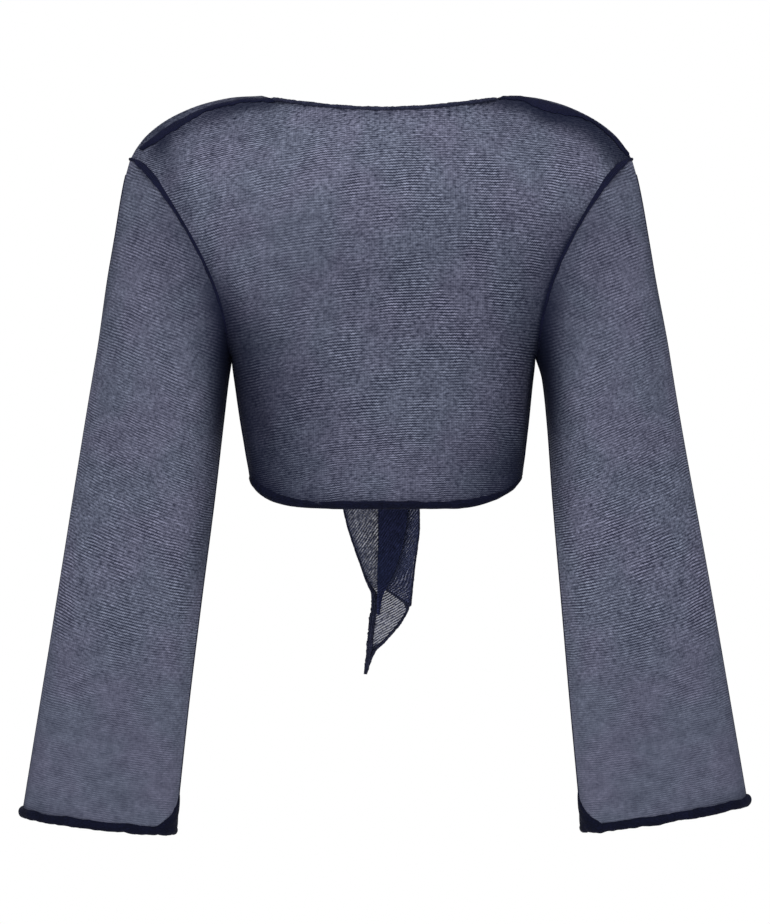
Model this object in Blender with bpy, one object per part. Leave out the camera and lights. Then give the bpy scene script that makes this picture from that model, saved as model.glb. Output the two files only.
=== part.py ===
"""Cropped knit top with a tied front and long, slightly flared sleeves.

The top keeps the hollow form it has when it is worn, with nobody in it. +Z is up, the tied front
faces -Y and the wearer's left is +X. The origin is level with the top of the shoulders, midway
between them. Each panel is one layer of fine knit, so each is a thin wall, and every free edge
ends in a roll of knit. Sizes are in metres.
"""

import math
from collections import namedtuple

import bpy
import numpy as np

# Cloth and seams
WALL = 0.0012  # thickness of one layer of knit
GAP = 0.0003  # space left between two pieces at a seam

# The worn form, level by level below the arms: half the width between the side seams, and how
# far the back and the front stand out behind and before them.
Level = namedtuple("Level", "height half_width back front")
LEVELS = (
    Level(height=-0.356, half_width=0.1180, back=0.074, front=0.082),
    Level(height=-0.320, half_width=0.1214, back=0.074, front=0.086),
    Level(height=-0.285, half_width=0.1262, back=0.077, front=0.092),
    Level(height=-0.250, half_width=0.1305, back=0.081, front=0.100),
    Level(height=-0.2297, half_width=0.1333, back=0.084, front=0.104),
    Level(height=-0.140, half_width=0.1333, back=0.093, front=0.103),
    Level(height=-0.060, half_width=0.1333, back=0.090, front=0.084),
    Level(height=0.010, half_width=0.1333, back=0.084, front=0.070),
)
SIDE_ROUNDING = 2.5  # power of the curve that carries the cloth round the ribs

# The same half width without the break at the armpit: the cloth away from the sides follows this
Girth = namedtuple("Girth", "height half_width")
GIRTH = (
    Girth(height=-0.356, half_width=0.1180),
    Girth(height=-0.285, half_width=0.1275),
    Girth(height=-0.230, half_width=0.1430),
    Girth(height=-0.170, half_width=0.1740),
    Girth(height=-0.110, half_width=0.2060),
    Girth(height=-0.050, half_width=0.2260),
    Girth(height=0.010, half_width=0.2300),
)
SIDE_SHARE = 0.55  # share of the width from which the cloth begins to follow the sides

# Rounding over the shoulders
SHOULDER_ROUNDING = 0.62  # power of the curve that carries it over the shoulders
ROUNDING_START = -0.150  # height where the cloth starts to lean towards the shoulder line

# The line along the top of the shoulders, from the middle of the neck out to the sleeve. Between
# the neck points nothing is on it: there it only leads the cloth of the back up to the neck.
Ridge = namedtuple("Ridge", "out height")
RIDGE = (
    Ridge(out=0.0, height=0.0410),
    Ridge(out=0.050, height=0.0320),
    Ridge(out=0.090, height=0.0110),
    Ridge(out=0.107, height=0.0003),
    Ridge(out=0.128, height=-0.0008),
    Ridge(out=0.152, height=-0.0055),
    Ridge(out=0.1808, height=-0.0168),
    Ridge(out=0.2046, height=-0.0332),
    Ridge(out=0.2145, height=-0.0450),
    Ridge(out=0.2208, height=-0.0559),
)
NECK_POINT = 0.107  # where the shoulder seam meets the neck edge
NECK_DROP = 0.0170  # how far the middle of the back neck lies below the neck points
NECK_CURVE = 2.5  # power of the curve between them

# Armhole, from the shoulder tip to the armpit
TIP_OUT, TIP_HEIGHT = 0.2208, -0.0559
ARMPIT_OUT, ARMPIT_HEIGHT = 0.1333, -0.2297
ARMHOLE_BOW = 0.0205  # how far the seam bends from a straight line towards the body
SHOULDER_SWELL = 0.015  # how far the form swells past that line, under the sleeve's top

# Hem
HEM_BACK = -0.3639  # lowest line of the rolled hem at the middle of the back
HEM_SIDE_RISE = 0.0225  # how much higher it is at the side seams
HEM_CURVE = 6  # power of the curve that lifts the back hem towards the sides

# The top doesn't hang quite evenly: both shift sideways, towards the wearer's left if positive
HEM_SWING = -0.0024  # at the hem, from nothing at the armpits
SHOULDER_LEAN = 0.0022  # at the shoulder tips, from nothing at the neck and the armpits
LEAN_FROM, LEAN_FULL = 0.107, 0.190  # distances out between which the lean sets in
LEAN_HEIGHT = -0.150  # height from which it is full

# Sleeves, seen from behind: the outer and the inner outline of each, from the armhole to the
# cuff, and half the depth from front to back. The right one is turned a little more to the back.
Outline = namedtuple("Outline", "height out")
SLEEVE_OUTER = {
    "left": (
        Outline(height=-0.0559, out=0.2208),
        Outline(height=-0.0740, out=0.2256),
        Outline(height=-0.1267, out=0.2346),
        Outline(height=-0.2675, out=0.2590),
        Outline(height=-0.4435, out=0.2872),
        Outline(height=-0.6340, out=0.3180),
    ),
    "right": (
        Outline(height=-0.0559, out=0.2208),
        Outline(height=-0.0740, out=0.2258),
        Outline(height=-0.1267, out=0.2355),
        Outline(height=-0.2675, out=0.2578),
        Outline(height=-0.4435, out=0.2894),
        Outline(height=-0.6238, out=0.3204),
    ),
}
SLEEVE_INNER = {
    "left": (
        Outline(height=-0.2297, out=0.1333),
        Outline(height=-0.2500, out=0.1366),
        Outline(height=-0.2850, out=0.1408),
        Outline(height=-0.3555, out=0.1490),
        Outline(height=-0.4435, out=0.1604),
        Outline(height=-0.5315, out=0.1712),
        Outline(height=-0.6496, out=0.1838),
    ),
    "right": (
        Outline(height=-0.2297, out=0.1333),
        Outline(height=-0.2500, out=0.1394),
        Outline(height=-0.2850, out=0.1438),
        Outline(height=-0.3555, out=0.1492),
        Outline(height=-0.4435, out=0.1567),
        Outline(height=-0.5315, out=0.1642),
        Outline(height=-0.6476, out=0.1750),
    ),
}
Depth = namedtuple("Depth", "along half_depth")
SLEEVE_DEPTHS = (
    Depth(along=0.0, half_depth=0.056),
    Depth(along=0.35, half_depth=0.053),
    Depth(along=0.7, half_depth=0.047),
    Depth(along=1.0, half_depth=0.043),
)
CAP_SHARE = 0.22  # share of the sleeve over which its section turns from the armhole's to an oval

# Rolled edges: half the thickness of each roll, and how far it is turned to the inside
HEM_ROLL = 0.0047
CUFF_ROLL = 0.0038
NECK_ROLL = 0.0017
NECK_START = 0.035  # share of its first step at which the neck roll begins, clear of the knot
HEM_START = -0.13  # the same of the hem roll, which begins before the fronts' corners
HEM_INSIDE = 0.9  # share of the radius
CUFF_INSIDE = 0.4
NECK_INSIDE = 0.8

# Knot of the tie: its middle and half its width, depth and height
KNOT_MIDDLE = (0.0, -0.0945, -0.292)
KNOT_HALF = (0.0205, 0.0145, 0.0175)
KNOT_WRAP = 0.0016  # depth of the grooves between its turns
KNOT_HOLD = 0.78  # share of the knot's height from which each front is gathered

# Gathers that run out of the knot over each front. A row is one line of the panel's grid.
Fold = namedtuple("Fold", "row height reach")
FOLDS = (
    Fold(row=1, height=0.0022, reach=0.30),
    Fold(row=3, height=0.0034, reach=0.42),
    Fold(row=5, height=0.0027, reach=0.34),
    Fold(row=7, height=0.0038, reach=0.50),
    Fold(row=9, height=0.0024, reach=0.38),
    Fold(row=12, height=0.0030, reach=0.45),
)

# Loose ends of the tie, section by section down from the knot: height, the two edges seen from
# behind, and how far forward the cloth hangs. Left is the wearer's left.
Section = namedtuple("Section", "height left right forward")
TAIL_LEFT = (
    Section(height=-0.3120, left=0.0105, right=-0.0100, forward=0.1000),
    Section(height=-0.3350, left=0.0250, right=-0.0220, forward=0.1015),
    Section(height=-0.3580, left=0.0372, right=-0.0312, forward=0.1025),
    Section(height=-0.3745, left=0.0345, right=-0.0320, forward=0.1030),
    Section(height=-0.3926, left=0.0292, right=-0.0310, forward=0.1030),
    Section(height=-0.4107, left=0.0229, right=-0.0272, forward=0.1030),
    Section(height=-0.4288, left=0.0165, right=-0.0252, forward=0.1030),
    Section(height=-0.4450, left=0.0105, right=-0.0243, forward=0.1025),
    Section(height=-0.4532, left=0.0112, right=-0.0238, forward=0.1022),
    Section(height=-0.4650, left=0.0130, right=-0.0192, forward=0.1018),
    Section(height=-0.4831, left=0.0149, right=-0.0048, forward=0.1012),
    Section(height=-0.4939, left=0.0160, right=0.0055, forward=0.1010),
    Section(height=-0.5130, left=0.0180, right=0.0154, forward=0.1010),
)
TAIL_RIGHT = (
    Section(height=-0.3120, left=0.0060, right=-0.0120, forward=0.0945),
    Section(height=-0.3350, left=0.0058, right=-0.0235, forward=0.0960),
    Section(height=-0.3580, left=0.0052, right=-0.0318, forward=0.0970),
    Section(height=-0.3745, left=0.0050, right=-0.0325, forward=0.0975),
    Section(height=-0.4107, left=0.0052, right=-0.0276, forward=0.0980),
    Section(height=-0.4320, left=0.0058, right=-0.0246, forward=0.0985),
)
TAIL_RIGHT_FOLD = (
    Section(height=-0.3120, left=0.0050, right=-0.0090, forward=0.0895),
    Section(height=-0.3350, left=0.0050, right=-0.0160, forward=0.0905),
    Section(height=-0.3650, left=0.0050, right=-0.0215, forward=0.0920),
    Section(height=-0.3930, left=0.0046, right=-0.0180, forward=0.0930),
    Section(height=-0.4210, left=0.0058, right=-0.0100, forward=0.0940),
    Section(height=-0.4450, left=0.0055, right=0.0010, forward=0.0950),
    Section(height=-0.4600, left=0.0054, right=0.0034, forward=0.0955),
)
TAIL_CROWN = 0.0020  # how far the middle of a tail bows out between its edges
TAIL_END_CUT = 0.0200  # how much lower the right tail's outer corner is than its inner one

# How finely each run of a seam is divided. Panels that meet share these, point for point.
SIDE_STEPS = 6
ARMHOLE_STEPS = 14
SHOULDER_STEPS = 10
NECK_STEPS = 10
KNOT_STEPS = 10
SLEEVE_STEPS = 14
TAIL_STEPS = 6
FULL_ROLL_SIDES = 2  # bevel resolution of the hem and cuffs, eight sides
THIN_ROLL_SIDES = 1  # and of the neck edge, six sides

# Colours, as red, green and blue in linear light
KNIT_COLOUR = (0.098, 0.105, 0.156, 1.0)
ROLL_COLOUR = (0.0095, 0.0110, 0.0250, 1.0)
KNOT_COLOUR = (0.0140, 0.0165, 0.0350, 1.0)
TAIL_COLOUR = (0.0800, 0.0850, 0.1200, 1.0)
KNIT_ROUGHNESS = 0.9


def column(table, name):
    """One column of a table as an array."""
    return np.array([getattr(row, name) for row in table])


def smooth_through(knots, values, at):
    """A smooth curve through the values that never overshoots them (monotone cubic)."""
    order = np.argsort(knots)
    knots, values = np.asarray(knots)[order], np.asarray(values)[order]
    steps = np.diff(knots)
    slopes = np.diff(values) / steps
    before, after = slopes[:-1], slopes[1:]
    same_way = before * after > 0
    weights = (2 * steps[1:] + steps[:-1], steps[1:] + 2 * steps[:-1])
    safe_before = np.where(same_way, before, 1.0)
    safe_after = np.where(same_way, after, 1.0)
    mean = sum(weights) / (weights[0] / safe_before + weights[1] / safe_after)
    tangents = np.concatenate([slopes[:1], np.where(same_way, mean, 0.0), slopes[-1:]])
    at = np.clip(np.asarray(at, float), knots[0], knots[-1])
    index = np.clip(np.searchsorted(knots, at, side="right") - 1, 0, len(steps) - 1)
    width = steps[index]
    share = (at - knots[index]) / width
    rest = 1 - share
    return (
        values[index] * (1 + 2 * share) * rest**2
        + tangents[index] * width * share * rest**2
        + values[index + 1] * (3 - 2 * share) * share**2
        - tangents[index + 1] * width * share**2 * rest
    )


def unit(vectors):
    return vectors / np.linalg.norm(vectors, axis=-1, keepdims=True)


def ease(share):
    """A share from 0 to 1 that starts and ends smoothly, and stays within them."""
    share = np.clip(share, 0, 1)
    return share * share * (3 - 2 * share)


def ridge(out):
    """Height of the line along the top of the shoulders, at a distance out from the middle."""
    return smooth_through(column(RIDGE, "out"), column(RIDGE, "height"), np.abs(out))


def half_width(height):
    """Half the form's width: the side seam below the armpit, the swell of the shoulder above."""
    below = smooth_through(column(LEVELS, "height"), column(LEVELS, "half_width"), height)
    share = np.clip((height - ARMPIT_HEIGHT) / (TIP_HEIGHT - ARMPIT_HEIGHT), 0, 1)
    line = ARMPIT_OUT + (TIP_OUT - ARMPIT_OUT) * share
    above = line + SHOULDER_SWELL * np.sin(math.pi * share * 0.97) ** 0.8
    return np.where(height <= ARMPIT_HEIGHT, below, above)


def stand_out(out, height, side):
    """How far the cloth stands behind or before the side seams, at a place seen from behind."""
    deepest = smooth_through(column(LEVELS, "height"), column(LEVELS, side), height)
    at_side = np.clip(np.abs(out) / half_width(height), 0, 1)
    girth = smooth_through(column(GIRTH, "height"), column(GIRTH, "half_width"), height)
    in_middle = np.clip(np.abs(out) / girth, 0, 1)
    share = ease((at_side - SIDE_SHARE) / (1 - SIDE_SHARE))
    across = (1 - share) * in_middle + share * at_side
    up = np.clip((height - ROUNDING_START) / (ridge(out) - ROUNDING_START), 0, 1)
    round_side = np.sqrt(1 - across**SIDE_ROUNDING)
    return deepest * round_side * (1 - up**2) ** SHOULDER_ROUNDING


def hem_height(across):
    """The hem's lowest line on the back, from the middle (0) to the side seam (1)."""
    return HEM_BACK + HEM_SIDE_RISE * np.abs(across) ** HEM_CURVE


def blend_patch(bottom, top, left, right, across, up):
    """A surface that meets four edges (a Coons patch): the edges' blends less their corners."""
    across = across[None, :, None]
    up = up[:, None, None]
    sides = (1 - across) * left[:, None] + across * right[:, None]
    ends = (1 - up) * bottom[None, :] + up * top[None, :]
    corners = (1 - up) * ((1 - across) * bottom[0] + across * bottom[-1]) + up * (
        (1 - across) * top[0] + across * top[-1]
    )
    return sides + ends - corners


def armhole_angles():
    """Angles round half the armhole, from the armpit up to the shoulder tip."""
    return np.linspace(math.pi, 0, ARMHOLE_STEPS + 1)


def armhole_line(angles):
    """The armhole seam seen from behind, as distance out and height."""
    toward_tip = (1 + np.cos(angles)) / 2
    out = ARMPIT_OUT + (TIP_OUT - ARMPIT_OUT) * toward_tip
    height = ARMPIT_HEIGHT + (TIP_HEIGHT - ARMPIT_HEIGHT) * toward_tip
    out = out - ARMHOLE_BOW * np.sin(angles) * (1 - (1 - toward_tip) ** 6)
    return out, height


def edge_line():
    """The panel's outer edge seen from behind: up the side seam, then up the armhole."""
    start = HEM_BACK + HEM_SIDE_RISE + 2 * HEM_ROLL
    heights = np.linspace(start, ARMPIT_HEIGHT, SIDE_STEPS + 1)
    outs = half_width(heights)
    arm_out, arm_height = armhole_line(armhole_angles())
    return np.append(outs[:-1], arm_out), np.append(heights[:-1], arm_height)


def shoulder_outs():
    """Distances out along the shoulder seam, closer together towards the sleeve."""
    start = math.asin(NECK_POINT / TIP_OUT)
    return TIP_OUT * np.sin(np.linspace(start, math.pi / 2, SHOULDER_STEPS + 1))


def back_points():
    """The back's outer points, row by row from the hem up, from the wearer's right to the left."""
    shoulder = shoulder_outs()
    neck = NECK_POINT * np.sin(np.linspace(-math.pi / 2, math.pi / 2, NECK_STEPS + 1))
    top_out = np.concatenate([-shoulder[:0:-1], neck, shoulder[1:]])
    over_neck = np.clip(np.abs(top_out) / NECK_POINT, 0, 1)
    neck_height = ridge(NECK_POINT) - NECK_DROP * (1 - over_neck**NECK_CURVE)
    top_height = np.where(np.abs(top_out) < NECK_POINT, neck_height, ridge(top_out))
    across = top_out / TIP_OUT
    edge_out, edge_height = edge_line()
    up = (edge_height - edge_height[0]) / (edge_height[-1] - edge_height[0])
    bottom = hem_height(across) + 2 * HEM_ROLL
    out = across[None, :] * edge_out[:, None]
    height = (1 - up[:, None]) * bottom[None, :] + up[:, None] * top_height[None, :]
    return np.stack([out, stand_out(out, height, "back"), height], axis=-1)


def knot_edge():
    """Where a front goes into the knot, seen from behind: up the knot's side, just off it."""
    climb = np.linspace(-KNOT_HOLD, KNOT_HOLD, KNOT_STEPS + 1)
    out = KNOT_HALF[0] * np.sqrt(1 - climb**2) + 2 * GAP
    return np.stack([out, KNOT_MIDDLE[2] + KNOT_HALF[2] * climb], axis=-1)


def front_points():
    """The left front's outer points, rows from the hem up, from the knot and neck to the side."""
    edge_out, edge_height = edge_line()
    right = np.stack([edge_out, edge_height], axis=-1)
    knot = knot_edge()
    neck_rows = SIDE_STEPS + ARMHOLE_STEPS - KNOT_STEPS
    climb = np.linspace(0, 1, neck_rows + 1)[1:, None]
    neck_point = np.array([NECK_POINT, float(ridge(NECK_POINT))])
    neckline = knot[-1] + (neck_point - knot[-1]) * climb
    neckline[:, :1] -= 0.010 * np.sin(math.pi * climb) * climb
    left = np.concatenate([knot, neckline])
    shoulder = shoulder_outs()
    top = np.stack([shoulder, ridge(shoulder)], axis=-1)
    across = (shoulder - shoulder[0]) / (shoulder[-1] - shoulder[0])
    bottom = left[0] + (right[0] - left[0]) * across[:, None]
    bottom[:, 1] -= 0.006 * np.sin(math.pi * across)
    up = np.linspace(0, 1, len(left))
    flat = blend_patch(bottom, top, left, right, across, up)
    out, height = flat[..., 0], flat[..., 1]
    return np.stack([out, -stand_out(out, height, "front"), height], axis=-1), across


def gathers(points, across):
    """How far the cloth rises along the gathers, which fade away from the knot."""
    rise = np.zeros(points.shape[:2])
    for fold in FOLDS:
        fade = np.exp(-((across / fold.reach) ** 2)) * (0.45 + 0.55 * np.minimum(across / 0.1, 1))
        rise[fold.row] += fold.height * fade
    return rise


def sleeve_points(side):
    """One sleeve's outer points, as for the wearer's left, ring by ring down to the cuff.

    A ring starts at the armpit side and runs round the back to the shoulder side, then round
    the front. Its middle and its width come from the two outlines.
    """
    back_half = armhole_angles()
    angles = np.concatenate([back_half, 2 * math.pi - back_half[-2:0:-1]])
    along = np.linspace(0, 1, SLEEVE_STEPS + 1) ** 1.25
    end_lift = 2 * CUFF_ROLL
    outer, inner = SLEEVE_OUTER[side], SLEEVE_INNER[side]
    outer_height = TIP_HEIGHT + (outer[-1].height + end_lift - TIP_HEIGHT) * along
    inner_height = ARMPIT_HEIGHT + (inner[-1].height + end_lift - ARMPIT_HEIGHT) * along
    outer_out = smooth_through(column(outer, "height"), column(outer, "out"), outer_height)
    inner_out = smooth_through(column(inner, "height"), column(inner, "out"), inner_height)
    toward_outer = (1 + np.cos(angles)) / 2
    out = inner_out[:, None] + (outer_out - inner_out)[:, None] * toward_outer
    height = inner_height[:, None] + (outer_height - inner_height)[:, None] * toward_outer
    oval = ease(along / CAP_SHARE)[:, None]
    bow = ARMHOLE_BOW * np.abs(np.sin(angles)) * (1 - (1 - toward_outer) ** 6)
    out = out - (1 - oval) * bow
    seam_out, seam_height = armhole_line(np.minimum(angles, 2 * math.pi - angles))
    behind = angles <= math.pi
    seam_depth = np.where(
        behind,
        stand_out(seam_out, seam_height, "back"),
        -stand_out(seam_out, seam_height, "front"),
    )
    half_depth = smooth_through(column(SLEEVE_DEPTHS, "along"), column(SLEEVE_DEPTHS, "half_depth"), along)
    oval_depth = half_depth[:, None] * np.sin(angles)
    depth = (1 - oval) * seam_depth + oval * oval_depth
    return np.stack([out, depth, height], axis=-1)


def grid_normals(points, ring=False):
    """Unit vectors square to a grid of points, from the differences between neighbours."""
    if ring:
        round_way = np.roll(points, -1, axis=1) - np.roll(points, 1, axis=1)
    else:
        round_way = np.gradient(points, axis=1)
    up_way = np.gradient(points, axis=0)
    return unit(np.cross(round_way, up_way))


def wall(name, outer, inner, material, ring=False):
    """A closed wall between two grids of points, with its open edges faced over."""
    rows, columns = outer.shape[:2]
    index = np.arange(rows * columns).reshape(rows, columns)
    if ring:
        index = np.concatenate([index, index[:, :1]], axis=1)
    low, high = index[:-1], index[1:]
    skin = np.stack([low[:, :-1], low[:, 1:], high[:, 1:], high[:, :-1]], axis=-1).reshape(-1, 4)
    inside = rows * columns
    runs = [index[0], index[-1, ::-1]]
    if not ring:
        runs += [index[:, -1], index[::-1, 0]]
    rims = [np.stack([run[1:], run[:-1], run[:-1] + inside, run[1:] + inside], axis=-1) for run in runs]
    faces = np.concatenate([skin, skin[:, ::-1] + inside] + rims)
    points = np.concatenate([outer.reshape(-1, 3), inner.reshape(-1, 3)])
    corners = points[faces]
    volume = sum(
        np.einsum("ij,ij->i", corners[:, 0], np.cross(corners[:, a], corners[:, a + 1])).sum()
        for a in (1, 2)
    )
    if volume < 0:
        faces = faces[:, ::-1]
    mesh = bpy.data.meshes.new(name)
    mesh.from_pydata(points.tolist(), [], faces.tolist())
    mesh.shade_smooth()
    mesh.set_sharp_from_angle(angle=math.radians(50))
    return add(name, mesh, material)


def add(name, data, material):
    """Puts a finished mesh or curve in the garment's collection, with its material."""
    piece = bpy.data.objects.new(name, data)
    data.materials.append(material)
    garment.objects.link(piece)
    return piece


def rolled_edge(name, centres, radius, sides, material, closed=False):
    """A roll of knit along a free edge, as a curve with a round section."""
    curve = bpy.data.curves.new(name, "CURVE")
    curve.dimensions = "3D"
    curve.bevel_depth = radius
    curve.bevel_resolution = sides
    curve.use_fill_caps = not closed
    spline = curve.splines.new("POLY")
    spline.points.add(len(centres) - 1)
    flat = np.concatenate([centres, np.ones((len(centres), 1))], axis=1)
    spline.points.foreach_set("co", flat.ravel())
    spline.use_cyclic_u = closed
    return add(name, curve, material)


def finish(name, colour):
    """A plain knit material in one colour."""
    material = bpy.data.materials.new(name)
    material.use_nodes = True
    shader = material.node_tree.nodes["Principled BSDF"]
    shader.inputs["Base Color"].default_value = colour
    shader.inputs["Roughness"].default_value = KNIT_ROUGHNESS
    shader.inputs["Metallic"].default_value = 0.0
    return material


def mirrored(points):
    """The same points on the wearer's other side."""
    return points * np.array([-1.0, 1.0, 1.0])


def leaned(points):
    """The same points with the lean of the shoulders."""
    outward = ease((np.abs(points[..., 0]) - LEAN_FROM) / (LEAN_FULL - LEAN_FROM))
    upward = ease((points[..., 2] - ARMPIT_HEIGHT) / (LEAN_HEIGHT - ARMPIT_HEIGHT))
    moved = points.copy()
    moved[..., 0] += SHOULDER_LEAN * outward * upward
    return moved


def hung(points):
    """The same points with the lean of the shoulders and the body's swing towards the hem."""
    moved = leaned(points)
    moved[..., 0] += HEM_SWING * ease((ARMPIT_HEIGHT - points[..., 2]) / (ARMPIT_HEIGHT - HEM_BACK))
    return moved


def off_edge(edge, neighbours, closed=False):
    """Unit vectors that point off a panel's edge, along its surface and square to the edge."""
    if closed:
        run = unit(np.roll(edge, -1, axis=0) - np.roll(edge, 1, axis=0))
    else:
        run = unit(np.gradient(edge, axis=0))
    off = edge - neighbours
    return unit(off - run * np.sum(off * run, axis=1, keepdims=True))


def roll_centres(edge, off, inward, radius, turned_in):
    """The middle line of a roll that lies just off an edge, turned a little to the inside."""
    inside = max(turned_in * radius, WALL)
    away = math.sqrt((radius + GAP) ** 2 - (inside - WALL) ** 2)
    return edge + off * away + inward * inside


def corner_centre(corners, offs, inwards, radius, turned_in):
    """The middle of a roll where it passes from one panel's edge to the next one's."""
    off = unit(offs[0] + offs[1])
    stretch = 1 / float(np.sum(off * offs[0]))
    inward = unit(inwards[0] + inwards[1])
    inside = max(turned_in * radius, WALL)
    away = stretch * math.sqrt((radius + GAP) ** 2 - (inside - WALL) ** 2)
    return (corners[0] + corners[1]) / 2 + off * away + inward * inside


def seam_frames(panel_into, sleeve_into, panel_in, sleeve_in, run):
    """At each armhole point, the way from the panel to the sleeve and each wall's own direction.

    Where the two meet in a ridge or flat, both walls share the direction halfway between them.
    Where they meet in a deep valley, as at the armpit, each keeps its own.
    """
    across = unit(sleeve_into - panel_into + 0.3 * (sleeve_in - panel_in))
    shared = np.cross(run, across)
    shared *= np.sign(np.sum(shared * (panel_in + sleeve_in), axis=1, keepdims=True) + 1e-9)
    shared = unit(shared)
    agree = np.sum(panel_in * sleeve_in, axis=1, keepdims=True)
    own = np.clip((0.6 - agree) / 0.9, 0, 1)
    valley = np.sum((panel_in - sleeve_in) * across, axis=1, keepdims=True) < 0
    own = np.where(valley, own, 0.0)
    panel_wall = unit((1 - own) * shared + own * panel_in)
    sleeve_wall = unit((1 - own) * shared + own * sleeve_in)
    return across, panel_wall, sleeve_wall


def knot_mesh():
    """A ball of wrapped cloth: two turns lie slantwise across it, with a groove on each side."""
    builder = bpy.data.meshes.new("tie_knot")
    turns = np.linspace(0, 2 * math.pi, 28, endpoint=False)
    rises = np.linspace(0, math.pi, 15)[1:-1]
    rise, turn = np.meshgrid(rises, turns, indexing="ij")
    ball = np.stack([np.sin(rise) * np.cos(turn), np.sin(rise) * np.sin(turn), np.cos(rise)], axis=-1)
    slant = ball[..., 2] * math.cos(0.5) + ball[..., 0] * math.sin(0.5)
    groove = np.exp(-((np.abs(slant) - 0.34) / 0.13) ** 2)
    off_sides = 1 - ball[..., 0] ** 4
    turn_over = 0.7 * np.exp(-((slant / 0.3) ** 2))
    lift = 1 + KNOT_WRAP / KNOT_HALF[0] * (turn_over - groove) * off_sides
    points = hung(np.array(KNOT_MIDDLE) + ball * lift[..., None] * np.array(KNOT_HALF))
    rows, columns = rise.shape
    index = np.arange(rows * columns).reshape(rows, columns)
    index = np.concatenate([index, index[:, :1]], axis=1)
    faces = np.stack([index[:-1, :-1], index[1:, :-1], index[1:, 1:], index[:-1, 1:]], axis=-1)
    poles = hung(np.array(KNOT_MIDDLE) + np.array([[0, 0, KNOT_HALF[2]], [0, 0, -KNOT_HALF[2]]]))
    top, bottom = rows * columns, rows * columns + 1
    caps = [(top, a, b) for a, b in zip(index[0, :-1], index[0, 1:])]
    caps += [(bottom, b, a) for a, b in zip(index[-1, :-1], index[-1, 1:])]
    everything = [tuple(map(int, face)) for face in faces.reshape(-1, 4)]
    everything += [tuple(map(int, face)) for face in caps]
    builder.from_pydata(np.concatenate([points.reshape(-1, 3), poles]).tolist(), [], everything)
    builder.shade_smooth()
    return builder


def knot_underside(out, forward):
    """Height just below the knot, for a tail that comes out of it."""
    bottom = np.array([KNOT_MIDDLE[0], KNOT_MIDDLE[1], KNOT_MIDDLE[2] - KNOT_HALF[2]])
    across = (out - hung(bottom)[0]) / KNOT_HALF[0]
    through = (forward + KNOT_MIDDLE[1]) / KNOT_HALF[1]
    fall = np.sqrt(np.clip(1 - across**2 - through**2, 0, 1))
    return KNOT_MIDDLE[2] - KNOT_HALF[2] * fall - GAP


def tail(name, sections, end_cut, material):
    """A loose end of the tie: a strip between its two edges, bowed a little across its width."""
    height = column(sections, "height")
    left, right = column(sections, "left"), column(sections, "right")
    across = np.linspace(0, 1, TAIL_STEPS + 1)
    out = right[:, None] + (left - right)[:, None] * across
    crown = TAIL_CROWN * np.sin(math.pi * across) * np.clip((left - right) / 0.05, 0, 1)[:, None]
    ahead = column(sections, "forward")[:, None] + crown
    level = np.repeat(height[:, None], len(across), axis=1)
    level[0] = np.minimum(knot_underside(out[0], ahead[0]), knot_underside(out[0], ahead[0] - WALL))
    down = np.linspace(0, 1, len(sections))[:, None]
    level = level - end_cut * down**3 * (1 - across)
    outer = np.stack([out, -ahead, level], axis=-1)
    inner = outer + np.array([0.0, WALL, 0.0])
    return wall(name, outer, inner, material)


for old in list(bpy.data.objects):
    bpy.data.objects.remove(old, do_unlink=True)
garment = bpy.data.collections.new("knit_top")
bpy.context.scene.collection.children.link(garment)
knit = finish("fine_navy_knit", KNIT_COLOUR)
roll = finish("rolled_knit_edge", ROLL_COLOUR)
bound = finish("knotted_knit", KNOT_COLOUR)
loose = finish("single_layer_tail", TAIL_COLOUR)

# Outer points and wall directions of each panel, before the seams are parted
back = back_points()
back_in = grid_normals(back)
back_in *= np.sign(np.sum(back_in * np.array([0, -1.0, 0]), axis=-1, keepdims=True) + 1e-9)
front, front_across = front_points()
front_in = grid_normals(front)
front_in *= np.sign(np.sum(front_in * np.array([0, 1.0, 0]), axis=-1, keepdims=True) + 1e-9)
sleeves = {side: sleeve_points(side) for side in ("left", "right")}
sleeves_in = {}
for side, sleeve in sleeves.items():
    inward = grid_normals(sleeve, ring=True)
    middle = sleeve.mean(axis=1, keepdims=True)
    sleeves_in[side] = inward * np.sign(np.sum(inward * (middle - sleeve), axis=-1, keepdims=True))

# On the side and shoulder seams, the walls of back and front meet in the plane between them
side_rows = slice(0, SIDE_STEPS + 1)
level_in = np.array([-1.0, 0.0, 0.0])
shoulder_run = unit(np.gradient(front[-1], axis=0))
shoulder_down = unit(np.cross(shoulder_run, np.array([0.0, 1.0, 0.0])))
shoulder_down *= -np.sign(shoulder_down[:, 2:])
front_in[side_rows, -1] = level_in
front_in[-1] = shoulder_down
back_in[side_rows, -1] = level_in
back_in[side_rows, 0] = mirrored(level_in)
back_in[-1, -SHOULDER_STEPS - 1 :] = shoulder_down
back_in[-1, SHOULDER_STEPS::-1] = mirrored(shoulder_down)

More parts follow.
